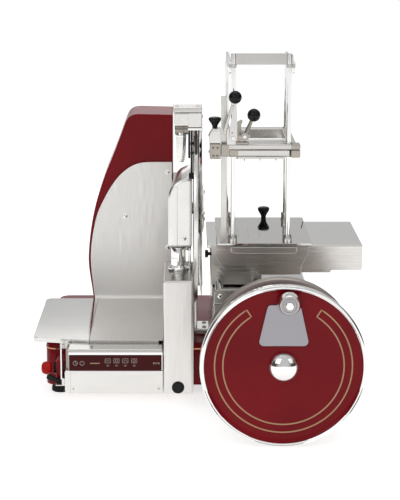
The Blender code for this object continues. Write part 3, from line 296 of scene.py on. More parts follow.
def slab(bm, outline, axis, low, high):
    """Outline of (u, v) points drawn out along the axis."""
    verts = [bm.verts.new(spot(axis, u, v, low)) for u, v in outline]
    face = bm.faces.new(verts)
    grown = bmesh.ops.extrude_face_region(bm, geom=[face], use_keep_orig=True)
    moved = [g for g in grown["geom"] if isinstance(g, bmesh.types.BMVert)]
    bmesh.ops.translate(bm, verts=moved, vec=spot(axis, 0, 0, high - low))


def block(bm, low, high):
    low = Vector(low)
    high = Vector(high)
    size = Matrix.Diagonal((*(high - low), 1))
    bmesh.ops.create_cube(bm, size=1, matrix=Matrix.Translation((low + high) / 2) @ size)


def bar(bm, start, end, r_start, r_end=None, steps=SMALL):
    start = Vector(start)
    end = Vector(end)
    way = Vector((0, 0, 1)).rotation_difference(end - start).to_matrix().to_4x4()
    bmesh.ops.create_cone(bm, cap_ends=True, segments=steps, radius1=r_start,
                          radius2=r_start if r_end is None else r_end, depth=(end - start).length,
                          matrix=Matrix.Translation((start + end) / 2) @ way)


def sphere(bm, centre, radius, steps=SMALL):
    bmesh.ops.create_uvsphere(bm, u_segments=steps, v_segments=steps // 2, radius=radius,
                              matrix=Matrix.Translation(centre))


def polar(u, v, radius, degrees):
    angle = math.radians(degrees)
    return u + radius * math.cos(angle), v + radius * math.sin(angle)


def arc(u, v, radius, start, end, steps=12):
    return [polar(u, v, radius, start + (end - start) * k / steps) for k in range(steps + 1)]


def rounded(outline, radii, steps=8):
    """Outline whose corners are arcs; radii is one radius or one for each corner."""
    if not isinstance(radii, (list, tuple)):
        radii = [radii] * len(outline)
    result = []
    for i, radius in enumerate(radii):
        here = Vector(outline[i])
        back = (Vector(outline[i - 1]) - here).normalized()
        ahead = (Vector(outline[(i + 1) % len(outline)]) - here).normalized()
        half = back.angle(ahead) / 2
        if radius == 0 or half > math.radians(89):
            result.append(tuple(here))
            continue
        centre = here + (back + ahead).normalized() * (radius / math.sin(half))
        start = here + back * (radius / math.tan(half)) - centre
        end = here + ahead * (radius / math.tan(half)) - centre
        sweep = math.atan2(start.x * end.y - start.y * end.x, start.dot(end))
        for k in range(steps + 1):
            result.append(tuple(centre + Matrix.Rotation(sweep * k / steps, 2) @ start))
    return result


def rectangle(x0, y0, x1, y1):
    return ((x0, y0), (x1, y0), (x1, y1), (x0, y1))


def flowing(points, per=8):
    """Open run of points drawn through with a smooth curve."""
    result = []
    ends = [points[0]] + list(points) + [points[-1]]
    for i in range(1, len(ends) - 2):
        a, b, c, d = (Vector(ends[j]) for j in (i - 1, i, i + 1, i + 2))
        for k in range(per):
            t = k / per
            result.append(tuple(0.5 * (2 * b + (c - a) * t + (2 * a - 5 * b + 4 * c - d) * t * t
                                       + (3 * b - a - 3 * c + d) * t ** 3)))
    result.append(tuple(points[-1]))
    return result


def ribbon(bm, line, width, axis, low, high, closed=False):
    """Band of a width along a line, drawn out along the axis: for lines, icons and trim."""
    count = len(line)
    sides = ([], [])
    for i in range(count):
        before = Vector(line[i - 1] if closed or i else line[i])
        after = Vector(line[(i + 1) % count] if closed or i < count - 1 else line[i])
        way = (after - before).normalized()
        out = Vector((-way.y, way.x)) * (width / 2)
        sides[0].append(tuple(Vector(line[i]) + out))
        sides[1].append(tuple(Vector(line[i]) - out))
    rows = [[bm.verts.new(spot(axis, *p, t)) for p in side] for t in (low, high) for side in sides]
    span = count if closed else count - 1
    for i in range(span):
        j = (i + 1) % count
        for a, b in ((0, 1), (1, 3), (3, 2), (2, 0)):
            bm.faces.new((rows[a][i], rows[a][j], rows[b][j], rows[b][i]))
    if not closed:
        for i in (0, count - 1):
            bm.faces.new((rows[0][i], rows[1][i], rows[3][i], rows[2][i]))


def new():
    return bmesh.new()


def skin(bm, rows):
    """Closes rows of points into a shell, with the first and the last row as its caps."""
    rows = [[bm.verts.new(point) for point in row] for row in rows]
    bm.faces.new(rows[0])
    bm.faces.new(rows[-1])
    for a, b in zip(rows, rows[1:]):
        for i in range(len(a)):
            j = (i + 1) % len(a)
            bm.faces.new((a[i], a[j], b[j], b[i]))


def turned(name, profile, axis, centre, mat, node, steps=STEPS, bevel=0.0):
    bm = new()
    turn(bm, profile, axis, *centre, steps)
    middle = spot(axis, *centre, sum(t for r, t in profile) / len(profile))
    finish(name, bm, mat, node, bevel, origin=middle)


def cut_plate(name, outline, axis, low, high, mat, node, bevel=0.0, segments=3, origin=None):
    bm = new()
    slab(bm, outline, axis, low, high)
    finish(name, bm, mat, node, bevel, segments, origin)


def boxed(name, low, high, mat, node, bevel=0.0, segments=3):
    bm = new()
    block(bm, low, high)
    finish(name, bm, mat, node, bevel, segments)


def band(name, line, width, axis, low, high, mat, node, bevel=0.0):
    bm = new()
    ribbon(bm, line, width, axis, low, high)
    finish(name, bm, mat, node, bevel)


def rod(name, start, end, radius, mat, node, bevel=0.0, tip=None, origin=None):
    bm = new()
    bar(bm, start, end, radius, tip)
    finish(name, bm, mat, node, bevel, origin=origin)


SCREW_DOME = ((0, 0), (1, 0), (1, 0.2), (0.8, 0.42), (0.4, 0.55), (0, 0.55))
SCREW_SLOT = (0.62, 0.13)
SCREW_SOCKET = 0.42


def screw(name, place, axis, side, radius, node, mat="chrome", kind="slot"):
    """Screw head on a face: a low dome with a slot or a hex socket; side is +1 or -1 along the axis."""
    u, v, t = place
    dome = [(r * radius, t + side * h * radius) for r, h in SCREW_DOME]
    bm = new()
    turn(bm, dome, axis, u, v, 32)
    finish(name, bm, mat, node, origin=spot(axis, u, v, t))
    if kind == "slot":
        du, dv = (share * radius for share in SCREW_SLOT)
        outline = rectangle(u - du, v - dv, u + du, v + dv)
    else:
        outline = [polar(u, v, SCREW_SOCKET * radius, 60 * k) for k in range(6)]
    high = dome[-1][1]
    low, high = sorted((high - side * HAIR, high + side * HAIR))
    cut_plate(name + "_recess", outline, axis, low, high, "groove", node, origin=spot(axis, u, v, t))


def screws(name, spots, t, axis, side, radius, node, mat="chrome", kind="slot"):
    """Screws at spots (u, v) on one face across the axis."""
    for i, (u, v) in enumerate(spots):
        screw("%s_%d" % (name, i), (u, v, t), axis, side, radius, node, mat, kind)


def ring_of(centre, radius, count, first):
    """Spots evenly round a centre, the first of them at an angle."""
    return [polar(*centre, radius, first + 360 / count * k) for k in range(count)]


# Base and feet
BASE = (-271, 112, 16, 262, 490, 100)
BASE_CORNER = 22
BASE_WALL = 8
CROWN_INSET = 3
SHOULDER_INSET = 0.9
TRIM_Z = (88, 90.5)
FOOT_SPOTS = {"foot_front_left": (-243, 131), "foot_front_right": (243, 131), "foot_rear_left": (-243, 471),
              "foot_rear_right": (243, 471)}


def make_base():
    x0, y0, z0, x1, y1, z1 = BASE

    def level(inset, z):
        line = rounded(rectangle(x0 + inset, y0 + inset, x1 - inset, y1 - inset), BASE_CORNER - inset)
        return [(x, y, z) for x, y in line]

    bm = new()
    skin(bm, [level(CROWN_INSET, z1), level(SHOULDER_INSET, z1 - SHOULDER_INSET), level(0, z1 - CROWN_INSET),
              level(0, z0), level(BASE_WALL, z0), level(BASE_WALL, z1 - BASE_WALL)])
    finish("base_body", bm, "red_cast", "base_casting", 0.8)
    bm = new()
    line = rounded(rectangle(x0 - HAIR, y0 - HAIR, x1 + HAIR, y1 + HAIR), BASE_CORNER)
    ribbon(bm, line, 1.6, "Z", *TRIM_Z, True)
    finish("base_trim", bm, "copper", "base_casting")
    profile = [(0, 0), (17.2, 0), (18.5, 1.2), (18.5, 4.2), (17.6, 5), (18.4, 5.8), (17.8, 9.5), (17, 10.2),
               (17.2, 11.2), (16.5, 15), (0, 15.7)]
    for name, place in FOOT_SPOTS.items():
        turned(name + "_ribbed", profile, "Z", place, "rubber", name, 48)


# Control box and stop button
BOX = (-225.5, 0, 34.5, -41.2, 111.5, 116)
BOX_SHOULDER = -218.5
COVER_SHEET_TOP = 79.5
LID = ((-219, 6, 114), (-43, 47, 119.3))
SWITCH = ((-244.8, 34, 49), (-224, 70, 89))
STOP_YZ = (52, 69)


def make_control_box():
    x0, y0, z0, x1, y1, z1 = BOX
    boxed("control_box_body", (x0, y0 + 2.2, z0 + 1), (x1, y1, COVER_SHEET_TOP), "satin_x", "control_box",
          2.2)
    boxed("control_box_top", (BOX_SHOULDER, y0 + 2.2, COVER_SHEET_TOP - 2), (x1, y1, z1 - 0.6), "steel_x",
          "control_box", 1.2)
    boxed("control_box_recess", (x0 + 1.5, y0 + 10, COVER_SHEET_TOP - 2), (BOX_SHOULDER, y1, z1 - 1.2),
          "dark_chrome", "control_box", 0.8)
    sheet = rounded(rectangle(x0, z0, x1, COVER_SHEET_TOP), [6.5, 2, 1, 3])
    cut_plate("box_cover_sheet", sheet, "Y", y0 - 0.5, y0 + 3, "satin_x", "control_box", 1)
    # A thin darker strip on the flat cover sheet marks its bend line: painted shade in the bend.
    boxed("box_cover_bend_shade", (x0 + 10.5, y0 - 0.9, z0 + 1.5), (x0 + 11.1, y0 - 0.4, COVER_SHEET_TOP - 1.5),
          "cast", "control_box")
    boxed("box_front_band", (BOX_SHOULDER, y0 - 0.8, z1 - 6.8), (x1, y0 + 6, z1), "chrome", "control_box",
          1.6)
    boxed("control_box_lid", *LID, "plate", "control_box", 1.2)
    boxed("switch_box", *SWITCH, "red", "control_box", 3.5)
    boxed("box_end_strip", (-233.8, 6, 60), (-230.8, 33, 121), "chrome", "control_box", 1.2)
    bm = new()
    block(bm, (-244, 8, 47), (-226.2, 70, 49))
    block(bm, (-232, 8, 48), (-226.2, 33, 62))
    finish("box_end_bracket", bm, "steel_x", "control_box", 0.8)
    guard = ((-264, 58.5), (-245, 49), (-226.2, 45.5), (-226.2, 52), (-244, 56), (-256, 64))
    cut_plate("switch_guard", rounded(guard, [2, 1, 0, 0, 1, 2], 4), "Y", 20, 33, "rubber", "control_box",
              0.8)
    screws("box_screw", [(x, z0 + 9.5) for x in (x0 + 16, x1 - 8.5)], y0 - 0.5, "Y", -1, 2.2, "control_box",
           "satin_x", "hex")
    collar = [(4.6, -244.1), (11.2, -244.1), (11.8, -245), (11.8, -247.5), (11, -248.2), (11.4, -249),
              (11.4, -250.1), (4.6, -250.1)]
    turned("stop_collar", collar, "X", STOP_YZ, "black", "control_box", 64)


def make_stop_button():
    profile = [(0, -249.2), (3.8, -249.2), (3.8, -254.6), (10, -254.6), (11.2, -255.6), (12.1, -257.2),
               (12.5, -260.4), (12.5, -264), (12, -267.4), (10.8, -270.3), (8.6, -272.5), (5.2, -273.7),
               (0, -274)]
    turned("stop_head", profile, "X", STOP_YZ, "stop", "stop_button", 64)


PANEL = (-217.2, -1.8, 80, -44, -0.3, 109)
CLOCK_IN = 12
POWER_STEP = 12.5
DASH_STEP = 15
DASH = 18
SYMBOLS_IN = 28
SYMBOL_PITCH = 16.5
LAMPS_IN = 14
LAMP_PITCH = 4.5


def make_panel():
    x0, y0, z0, x1, y1, z1 = PANEL
    # Its dark red is painted shade.
    cut_plate("panel_strip", rounded(rectangle(x0, z0, x1, z1), 1.5), "Y", y0, y1, "red_panel_painted_shade",
              "control_panel", 0.4)
    front = (y0 - 0.2, y0 + 0.2)
    middle = (z0 + z1) / 2

    def mark(name, lines, width=0.7, mat="ink"):
        bm = new()
        for line, closed in lines:
            ribbon(bm, line, width, "Y", *front, closed)
        finish(name, bm, mat, "control_panel", weld=False)

    ring = arc(0, 0, 4.2, 0, 350, 24)
    clock_x = x0 + CLOCK_IN
    mark("mark_clock", [([(clock_x + u, middle + v) for u, v in ring], True),
                        ([(clock_x, middle + 3), (clock_x, middle), (clock_x + 2.2, middle - 1.4)], False)])
    power_x = clock_x + POWER_STEP
    mark("mark_power", [([(power_x + u, middle + v) for u, v in arc(0, 0, 4, 120, 420, 20)], False),
                        ([(power_x, middle + 5.2), (power_x, middle + 0.6)], False)])
    dash_x = power_x + DASH_STEP
    cut_plate("mark_gold_dash", rounded(rectangle(dash_x, middle - 1.2, dash_x + DASH, middle + 0.6), 0.5),
              "Y", *front, "gold", "control_panel")
    lines = []
    for k in range(4):
        left = dash_x + SYMBOLS_IN + SYMBOL_PITCH * k
        low = middle + 0.6
        lines.append((rounded(rectangle(left, low, left + 10, low + 8), 0.8, 4), True))
        if k % 2:
            lines.append((arc(left + 5, low + 4, 2.4, 0, 340, 16), True))
        else:
            lines.append(([(left + 2, low + 2.5), (left + 5, low + 5.8), (left + 8, low + 2.5)], False))
        lines.append(([(left + 2.2, low - 4.5), (left + 7.8, low - 4.5)], False))
        lines.append(([(left + 3.5, low - 6.5), (left + 6.5, low - 6.5)], False))
    mark("mark_symbols", lines, 0.6)
    mark("mark_lamps", [(arc(x1 - LAMPS_IN + LAMP_PITCH * k, middle, 1.4, 0, 340, 12),
                         True) for k in range(3)])


# Column
COLUMN = (-40.5, -4, 34.5, 16, 160, 253.5)
COLUMN_STEP = (108, 103.5)
COLUMN_PLUG = (-13, 48)


def make_column():
    x0, y0, z0, x1, y1, z1 = COLUMN
    outline = [(y0, z0), (COLUMN_STEP[0], z0), (COLUMN_STEP[0], COLUMN_STEP[1]), (y1, COLUMN_STEP[1]),
               (y1, z1), (y0, z1)]
    cut_plate("column_body", outline, "X", x0, x1, "satin_z", "front_column", 4.5, 5)
    plug = [(0, y0 - 0.1), (11.7, y0 - 0.1), (11.7, y0 - 1), (10.4, y0 - 1.8), (8.2, y0 - 2), (7.6, y0 - 1.4),
            (0, y0 - 1.4)]
    turned("column_plug", plug, "Y", COLUMN_PLUG, "black", "front_column", 48)
    boxed("column_top_seam", (x0 + 3, y0 + 2, z1), (x1 - 3, 156, z1 + 0.2), "steel_x", "front_column")


# Tray, shelf, deflector
TRAY = (-290, 50, 123.2, -182.2, 366, 124.6)
SHELF = (-181.6, 50, 123.2, -27, 366.5, 124.6)
SHELF_NOTCH = (-42, 164)
DEFLECTOR_EDGE = ((-72.3, 414.5), (-92.9, 412.4), (-113.7, 404.1), (-134.5, 387.3), (-151.2, 366.2),
                  (-165.9, 340.9), (-180.8, 309.2), (-189.5, 275.2), (-195.1, 239), (-196.6, 202.6),
                  (-192.9, 159.5), (-189, 123.2))
DEFLECTOR_SPAN = (365.6, 367.4)
DEFLECTOR_RIGHT = -27
DEFLECTOR_TOP = 414.5
BEND_RADIUS = 8.8
WASHER = 0.8
SCREW_SPOTS = ((-122.7, 300.7), (-35.2, 393.6), (-35.5, 234.7))
SPACERS = ((-122.7, 300.7), (-40, 393.6), (-40, 234.7))
TRAY_POSTS = ((-240, 150), (-240, 330))
SHELF_POSTS = ((-120, 200), (-120, 330))
TRAY_SLANT = 20
TRAY_CORNER = 12


def make_tray():
    x0, y0, z0, x1, y1, z1 = TRAY
    corners = ((x0, y0 + TRAY_SLANT), (x1, y0), (x1, y1), (x0, y1))
    cut_plate("tray_sheet", rounded(corners, [TRAY_CORNER, 0, 0, TRAY_CORNER]), "Z", z0, z1, "plate",
              "slice_tray", 0.5)
    edge = rounded(((x1, y0), (x0, y0 + TRAY_SLANT), (x0, y1), (x1, y1)), [0, TRAY_CORNER, TRAY_CORNER, 0])
    band("tray_lip", edge, 1.4, "Z", z0 - 7.5, z0 + 0.4, "satin_x", "slice_tray", 0.4)
    boxed("tray_seam_strip", (x1 - 4.5, y0 + 2, z0 - 3), (x1 + 5, y1 - 2, z0 - 0.3), "dark_chrome",
          "slice_tray", 0.3)
    stand = [(0, 100.3), (10.5, 100.3), (10.5, 102), (9, 103), (7.5, 106), (7.5, 120), (9.5, 122.5),
             (9.5, z0), (0, z0)]
    for i, place in enumerate(TRAY_POSTS + SHELF_POSTS):
        turned("tray_stand_%d" % i, stand, "Z", place, "chrome", "slice_tray", 40)
    boxed("tray_bracket", (-238, 54, 106), (-216, 56.2, 122.8), "steel_x", "slice_tray", 0.8)
    screws("tray_screw", ((-233.5, 115), (-220.5, 115)), 54, "Y", -1, 2.4, "slice_tray")


def make_deflector():
    low, high = DEFLECTOR_SPAN
    right = DEFLECTOR_RIGHT
    x0, y0, z0, x1, y1, z1 = SHELF
    outline = [(right, z0), (right, DEFLECTOR_TOP)] + flowing(DEFLECTOR_EDGE)
    cut_plate("deflector_plate", outline, "Y", low, high, "satin_z", "slice_deflector", 0.6)
    shelf = [(x0, y0), (SHELF_NOTCH[0], y0), SHELF_NOTCH, (x1, SHELF_NOTCH[1]), (x1, y1), (x0, y1)]
    cut_plate("shelf_sheet", shelf, "Z", z0, z1, "satin_x", "slice_deflector", 0.5)
    bend = arc(low - BEND_RADIUS, z1 + BEND_RADIUS, BEND_RADIUS, 0, -90, 15)
    fillet = [(low + 0.4, z1 + BEND_RADIUS)] + bend + [(low + 0.4, z1 - 0.4)]
    cut_plate("deflector_bend", fillet, "X", -188.6, right, "satin_x", "slice_deflector")
    band("shelf_lip", [(-50, y0 + 0.8), (x0, y0 + 0.8)], 1.6, "Z", z0 - 8.5, z0 + 0.4, "steel_x",
         "slice_deflector", 0.4)
    washer = [(0, low), (5.2, low), (5.2, low - WASHER), (0, low - WASHER)]
    for i, place in enumerate(SCREW_SPOTS):
        turned("deflector_washer_%d" % i, washer, "Y", place, "chrome", "slice_deflector", 40, 0.2)
        screw("deflector_screw_%d" % i, (*place, low - WASHER), "Y", -1, 4, "slice_deflector")
    spacer = [(0, high), (8, high), (8, COVER_SPAN[0] - 0.3), (0, COVER_SPAN[0] - 0.3)]
    for i, place in enumerate(SPACERS):
        turned("deflector_spacer_%d" % i, spacer, "Y", place, "cast", "slice_deflector", 32, 0.3)


# Red cover
COVER_RUN = ((-96, 513.5), (-110, 510.5), (-120.5, 500), (-130, 476.3), (-145.9, 434.2), (-167.3, 381.3),
             (-184.6, 328), (-195.7, 274.5), (-201.5, 220.6), (-200.9, 188.1), (-195, 144.5), (-189, 100.5))
COVER_RIGHT = -25
COVER_TOP = 511.9
COVER_SPAN = (372, 500)
COVER_BACK = (500.3, 502.8)
COVER_SCREWS = ((-40, 490), (-105, 485), (-150, 360), (-178, 230), (-170, 125), (-40, 125), (-40, 300))
VENTS = 9
VENT_LOW = 200
VENT_PITCH = 11
INLET = (-124, 503.1, 150, -96, 517, 172)
INLET_WALL = 2.5


def make_cover():
    outline = [(COVER_RIGHT, 100.5), (COVER_RIGHT, COVER_TOP)] + flowing(COVER_RUN)
    low, high = COVER_BACK
    cut_plate("cover_shell", outline, "Y", *COVER_SPAN, "red", "drive_cover", 6, 5)
    cut_plate("cover_back_plate", outline, "Y", low, high, "red", "drive_cover_back", 0.8)
    screws("cover_back_screw", COVER_SCREWS, high, "Y", 1, 3.6, "drive_cover_back")
    bm = new()
    for k in range(VENTS):
        z = VENT_LOW + VENT_PITCH * k
        slab(bm, rounded(rectangle(-145, z, -70, z + 3.5), 1.7), "Y", high, high + HAIR)
    finish("cover_vent_slots", bm, "groove", "drive_cover_back")


def make_inlet():
    x0, y0, z0, x1, y1, z1 = INLET
    w = INLET_WALL
    outer = rounded(rectangle(x0, z0, x1, z1), [2, 2, 6, 6], 5)
    inner = rounded(rectangle(x0 + w, z0 + w, x1 - w, z1 - w), [1, 1, 4, 4], 5)
    levels = ((outer, y0), (outer, y1), (inner, y1), (inner, y0 + 4))
    bm = new()
    skin(bm, [[(x, y, z) for x, z in line] for line, y in levels])
    finish("inlet_housing", bm, "black", "power_inlet", 0.3)
    for i, (dx, dz) in enumerate(((-6.5, -2), (0, 2.2), (6.5, -2))):
        cx = (x0 + x1) / 2 + dx
        cz = (z0 + z1) / 2 + dz
        boxed("inlet_pin_%d" % i, (cx - 1, y0 + 3.5, cz - 2), (cx + 1, y1 - 3, cz + 2), "bronze",
              "power_inlet", 0.3)


# Knife and its guards
KNIFE_YZ = (200, 351)


def make_knife():
    profile = [(12.5, 26.2), (56, 26.2), (62, 27.5), (148, 27.5), (176.5, 31.8), (176.5, 32.3), (166, 31.8),
               (148, 31), (62, 31), (56, 32.2), (12.5, 32.2)]
    turned("knife_disc", profile, "X", KNIFE_YZ, "blade", "knife", 128)
    nut = [(0, 32.6), (48, 32.6), (48, 34.5), (46, 35.4), (40, 36.8), (0, 37.2)]
    turned("knife_nut_plate", nut, "X", KNIFE_YZ, "blade", "knife_shaft", 96)
    screws("knife_screw", ring_of(KNIFE_YZ, 32, 3, 90), 36.9, "X", 1, 4.2, "knife_shaft")
    ring = [(168, 17), (169, 16.5), (183, 16.5), (184.5, 17.2), (185, 18.5), (185, 24), (184.5, 24.5),
            (168, 24.5)]
    turned("guard_ring", ring, "X", KNIFE_YZ, "pale", "knife_guard_ring", 128)
    lip = arc(*KNIFE_YZ, 178.5, -70, 75, 64) + arc(*KNIFE_YZ, 185, 75, -70, 64)
    cut_plate("guard_lip", lip, "X", 23.5, 35.5, "pale", "knife_guard_ring", 1.4)
    bm = new()
    block(bm, (17, 170, 112), (24, 230, 170))
    block(bm, (17, 170, 100.3), (48, 230, 113))
    finish("guard_foot", bm, "pale", "knife_guard_ring", 2)
    screws("guard_foot_screw", ((38, 184), (38, 216)), 113, "Z", 1, 4.4, "knife_guard_ring", kind="hex")


def make_hub_cover():
    """Hub cover with fine turned ribs."""
    outer = [(85, 12), (83.5, 3), (76, -10.5), (62, -20), (40, -27.8), (0, -32)]
    curve = flowing(outer, 14)
    ribs = []
    for i, (r, t) in enumerate(curve):
        lift = 0.4 if i % 2 and 12 < r < 80 else 0
        ribs.append((r, t - lift))
    inner = [(0, -29.5), (39, -25.4), (60.5, -18.1), (74.2, -9), (81.2, 3.5), (82.6, 12)]
    turned("hub_cover_dome", ribs + inner, "X", KNIFE_YZ, "pale", "knife_hub_cover", 128)


GUARD_XZ = ((13.5, 297.5), (13.5, 430), (4, 430), (-8, 427), (-19, 420.5), (-27, 411), (-31, 399), (-32, 385),
            (-32, 297.5))
GUARD_Y = (81.5, 98.5)
POST_XY = (-12.5, 90)
LATCH_XY = (8.8, 90)


def make_hand_guard():
    outline = [GUARD_XZ[0], GUARD_XZ[1]] + flowing(GUARD_XZ[2:8], 6) + [GUARD_XZ[8]]
    cut_plate("guard_casting", outline, "Y", *GUARD_Y, "pale", "hand_guard", 5, 6)
    boxed("guard_rib", (-16.8, GUARD_Y[0] - 1.2, 302), (-14.2, GUARD_Y[0] + 1, 414), "pale", "hand_guard", 1)
    screw("guard_screw", (-0.5, 315, GUARD_Y[0] - HAIR), "Y", -1, 3.6, "hand_guard", kind="hex")


def make_post():
    profile = [(0, 253.8), (19.5, 253.8), (20, 254.3), (20, 257.5), (19, 258.3), (17, 260.3), (14.2, 263),
               (14.2, 276), (13.6, 276.6), (13.6, 277.6), (14.2, 278.2), (14.2, 294), (13.4, 296.8),
               (12, 297.2), (0, 297.2)]
    turned("post_chrome", profile, "Z", POST_XY, "chrome", "guard_post", 72)
    x, y = LATCH_XY
    rod("latch_stud", (x, y, 253.8), (x, y, 261.7), 4.2, "chrome", "guard_post", 0.5)
    bm = new()
    bar(bm, (x, y, 262), (x, y, 266), 3.8)
    bar(bm, (x, y, 266), (x, y, 292.5), 2.6, 2)
    sphere(bm, (x, y, 293.2), 2.8, 24)
    bar(bm, (x, y, 264), (x, y - 7, 264), 1.4, 1.2, 20)
    finish("latch_handle", bm, "chrome", "latch_lever", origin=(x, y, 262))


# Sharpener
SHARPENER_Y = 90
CONE_XY = (-7.5, SHARPENER_Y)
ROD_XY = (12.5, 70)
STONES = {"stone_coarse": (115, 474), "stone_fine": (140, 488.5)}


def make_sharpener():
    boxed("sharpener_lid", (-22.5, 62, 558.3), (32, 118, 567.1), "steel_x", "sharpener_cap", 2.2, 4)
    screws("sharpener_lid_screw", ((-15, SHARPENER_Y), (24, SHARPENER_Y)), 567.1, "Z", 1, 3.2,
           "sharpener_cap")
    boxed("sharpener_box", (-20, 66, 532.5), (10, 112, 557.5), "pale", "sharpener_body", 3, 4)
    boxed("sharpener_block", (6, 64, 530), (31.8, 114, 558), "pale", "sharpener_body", 2.2)
    boxed("sharpener_rim", (5.4, 63.2, 524.5), (32.6, 114, 529.6), "chrome", "sharpener_body", 1.2)
    drum = [(0, -19.2), (9, -19.2), (10.2, -18.2), (10.2, -4), (9.6, -3.4), (9.6, -2.2), (10.2, -1.6),
            (10.2, 7), (0, 7)]
    # The drum's dark warm metal is painted reflection of dark, brownish surroundings.
    turned("sharpener_drum", drum, "X", (SHARPENER_Y, 523.5), "dark_chrome", "sharpener_body", 64)
    cone = [(0, 518), (9.2, 518), (9.7, 517.2), (9.8, 508), (8.8, 488), (7.8, 468), (6.2, 462.5), (5, 461),
            (0, 460)]
    turned("sharpener_cone", cone, "Z", CONE_XY, "pale", "sharpener_body", 64)
    ring = [(9, 509), (10.2, 509.4), (10.2, 512.6), (9, 513)]
    turned("sharpener_cone_ring", ring, "Z", CONE_XY, "chrome", "sharpener_body", 64)
    bm = new()
    block(bm, (6, 100.2, 466.2), (10, 113.3, 527))
    block(bm, (6, 112, 466.2), (10, 149.8, 499))
    finish("sharpener_hanger", bm, "black", "sharpener_body", 0.8)
    stem = [(0, 443.7), (2.1, 443.7), (2.1, 525), (0, 525)]
    turned("sharpener_rod_stem", stem, "Z", ROD_XY, "black", "sharpener_rod", 32)
    knob = [(0, 432.5), (4.5, 432.5), (5.6, 433.8), (5.8, 435.5), (5.8, 440.5), (5, 442.4), (3.6, 443.7),
            (0, 443.7)]
    turned("sharpener_rod_knob", knob, "Z", ROD_XY, "black", "sharpener_rod", 40)
    wedge = [(66.5, 456), (73.5, 456), (74.5, 500), (74.5, 524.5), (65.5, 524.5), (65.5, 500)]
    cut_plate("sharpener_wedge", wedge, "X", 18.5, 23, "stone", "sharpener_body", 0.8)
    wheel = [(0, 10.3), (2.8, 10.3), (2.8, 19), (8, 19), (8.5, 19.5), (8.5, 26.2), (8, 26.8), (3, 26.8),
             (2.6, 26.2), (0, 26.2)]
    for name, place in STONES.items():
        turned(name + "_wheel", wheel, "X", place, "stone", name, 48)
    boxed("sharpener_arm_bar", (-16, 114.7, 528.7), (16, 225, 544), "cast", "sharpener_arm", 3.5, 4)
    boxed("sharpener_arm_foot", (-3.8, 170.2, 520.5), (16, 224.8, 530), "cast", "sharpener_arm", 2)
    screws("arm_screw", ((6, 185), (6, 210)), 544, "Z", 1, 4.2, "sharpener_arm", kind="hex")


# Flywheel
WHEEL_XZ = (171, 150.5)
GRIP_XZ = (179, 265.5)
DISC_FRONT = -205
GOLD_RADII = (119.8, 105.4)
GOLD_OPEN = 32.5
GOLD_WIDTH = 2.4
CRANK_CORNERS = ((-44.8, 37), (44.8, 37), (28.4, 111), (-28.4, 111))


def make_flywheel():
    rim = [(138.5, -198), (138.5, -209.2), (138.8, -210.2), (139.4, -210.6), (140, -210.2), (140.3, -209),
           (142, -209), (142.3, -210.4), (143.2, -211.1), (144.4, -210.7), (145.3, -209.5), (145.9, -207.5),
           (146, -205.5), (146, -199), (145.2, -198.2), (144, -198)]
    turned("wheel_rim", rim, "Y", WHEEL_XZ, "chrome", "flywheel_rim", 160)
    disc = [(12.3, DISC_FRONT), (127, DISC_FRONT), (130, -205.1), (133, -205.6), (135.5, -206.5),
            (137.4, -207.7), (138.2, -208.2), (138.2, -198.5), (125, -197.5), (40, -196.5), (35, -193),
            (33, -184), (32, -183), (12.3, -183)]
    turned("wheel_disc", disc, "Y", WHEEL_XZ, "red", "flywheel_disc", 160)
    outer, inner = GOLD_RADII
    start = 90 + GOLD_OPEN
    end = 90 + 360 - GOLD_OPEN
    loop = arc(*WHEEL_XZ, outer, start, end, 96) + arc(*WHEEL_XZ, inner, end, start, 96)
    bm = new()
    ribbon(bm, loop, GOLD_WIDTH, "Y", DISC_FRONT - 0.25, DISC_FRONT + 0.1, True)
    finish("wheel_gold_line", bm, "gold", "flywheel_disc", origin=(WHEEL_XZ[0], DISC_FRONT, WHEEL_XZ[1]))
    cap = [(0, -205.3), (26.8, -205.3)] + flowing([(26.8, -206), (26.6, -210), (25, -215), (21, -220.2),
                                                   (14.8, -224.2), (7.5, -226.4), (0, -227)], 5)
    turned("wheel_hub_cap", cap, "Y", WHEEL_XZ, "chrome", "hub_cap", 96)
    rear = [(33, -194), (38, -194.5), (38, -187), (35.5, -183.5), (33, -183)]
    turned("wheel_rear_hub", rear, "Y", WHEEL_XZ, "cast", "flywheel_disc", 96)


def make_crank():
    shape = [(WHEEL_XZ[0] + u, WHEEL_XZ[1] + v) for u, v in CRANK_CORNERS]
    # The crank cover's dark grey is painted reflection.
    cut_plate("crank_cover", rounded(shape, 8.5), "Y", -208.3, -205.3, "painted_reflection_plate", "crank_plate", 1.2)
    pin = [(0, -205.3), (9.5, -205.3), (9.5, -211.2), (5, -211.2), (5, -230), (6.2, -232.5), (6.6, -233),
           (6.6, -234), (6, -234.5), (0, -234.5)]
    turned("crank_pin", pin, "Y", GRIP_XZ, "chrome", "crank_plate", 64)
    grip = [(5.3, -211.7), (19.2, -211.7), (20.4, -212.2), (21, -213.4), (21, -216), (20.4, -218),
            (19.6, -220.4), (18.6, -223.4), (17.8, -226.2), (17.2, -228.6), (16, -230), (14, -229.6),
            (5.3, -229.2)]
    turned("grip_body", grip, "Y", GRIP_XZ, "turned", "hand_grip", 96)
    face = [(7, -229.7), (15.2, -229.9), (15.4, -230.3), (12.2, -230.5), (11.8, -229.9), (11.2, -230.5),
            (7.6, -230.5)]
    turned("grip_face", face, "Y", GRIP_XZ, "grip_end", "hand_grip", 96)


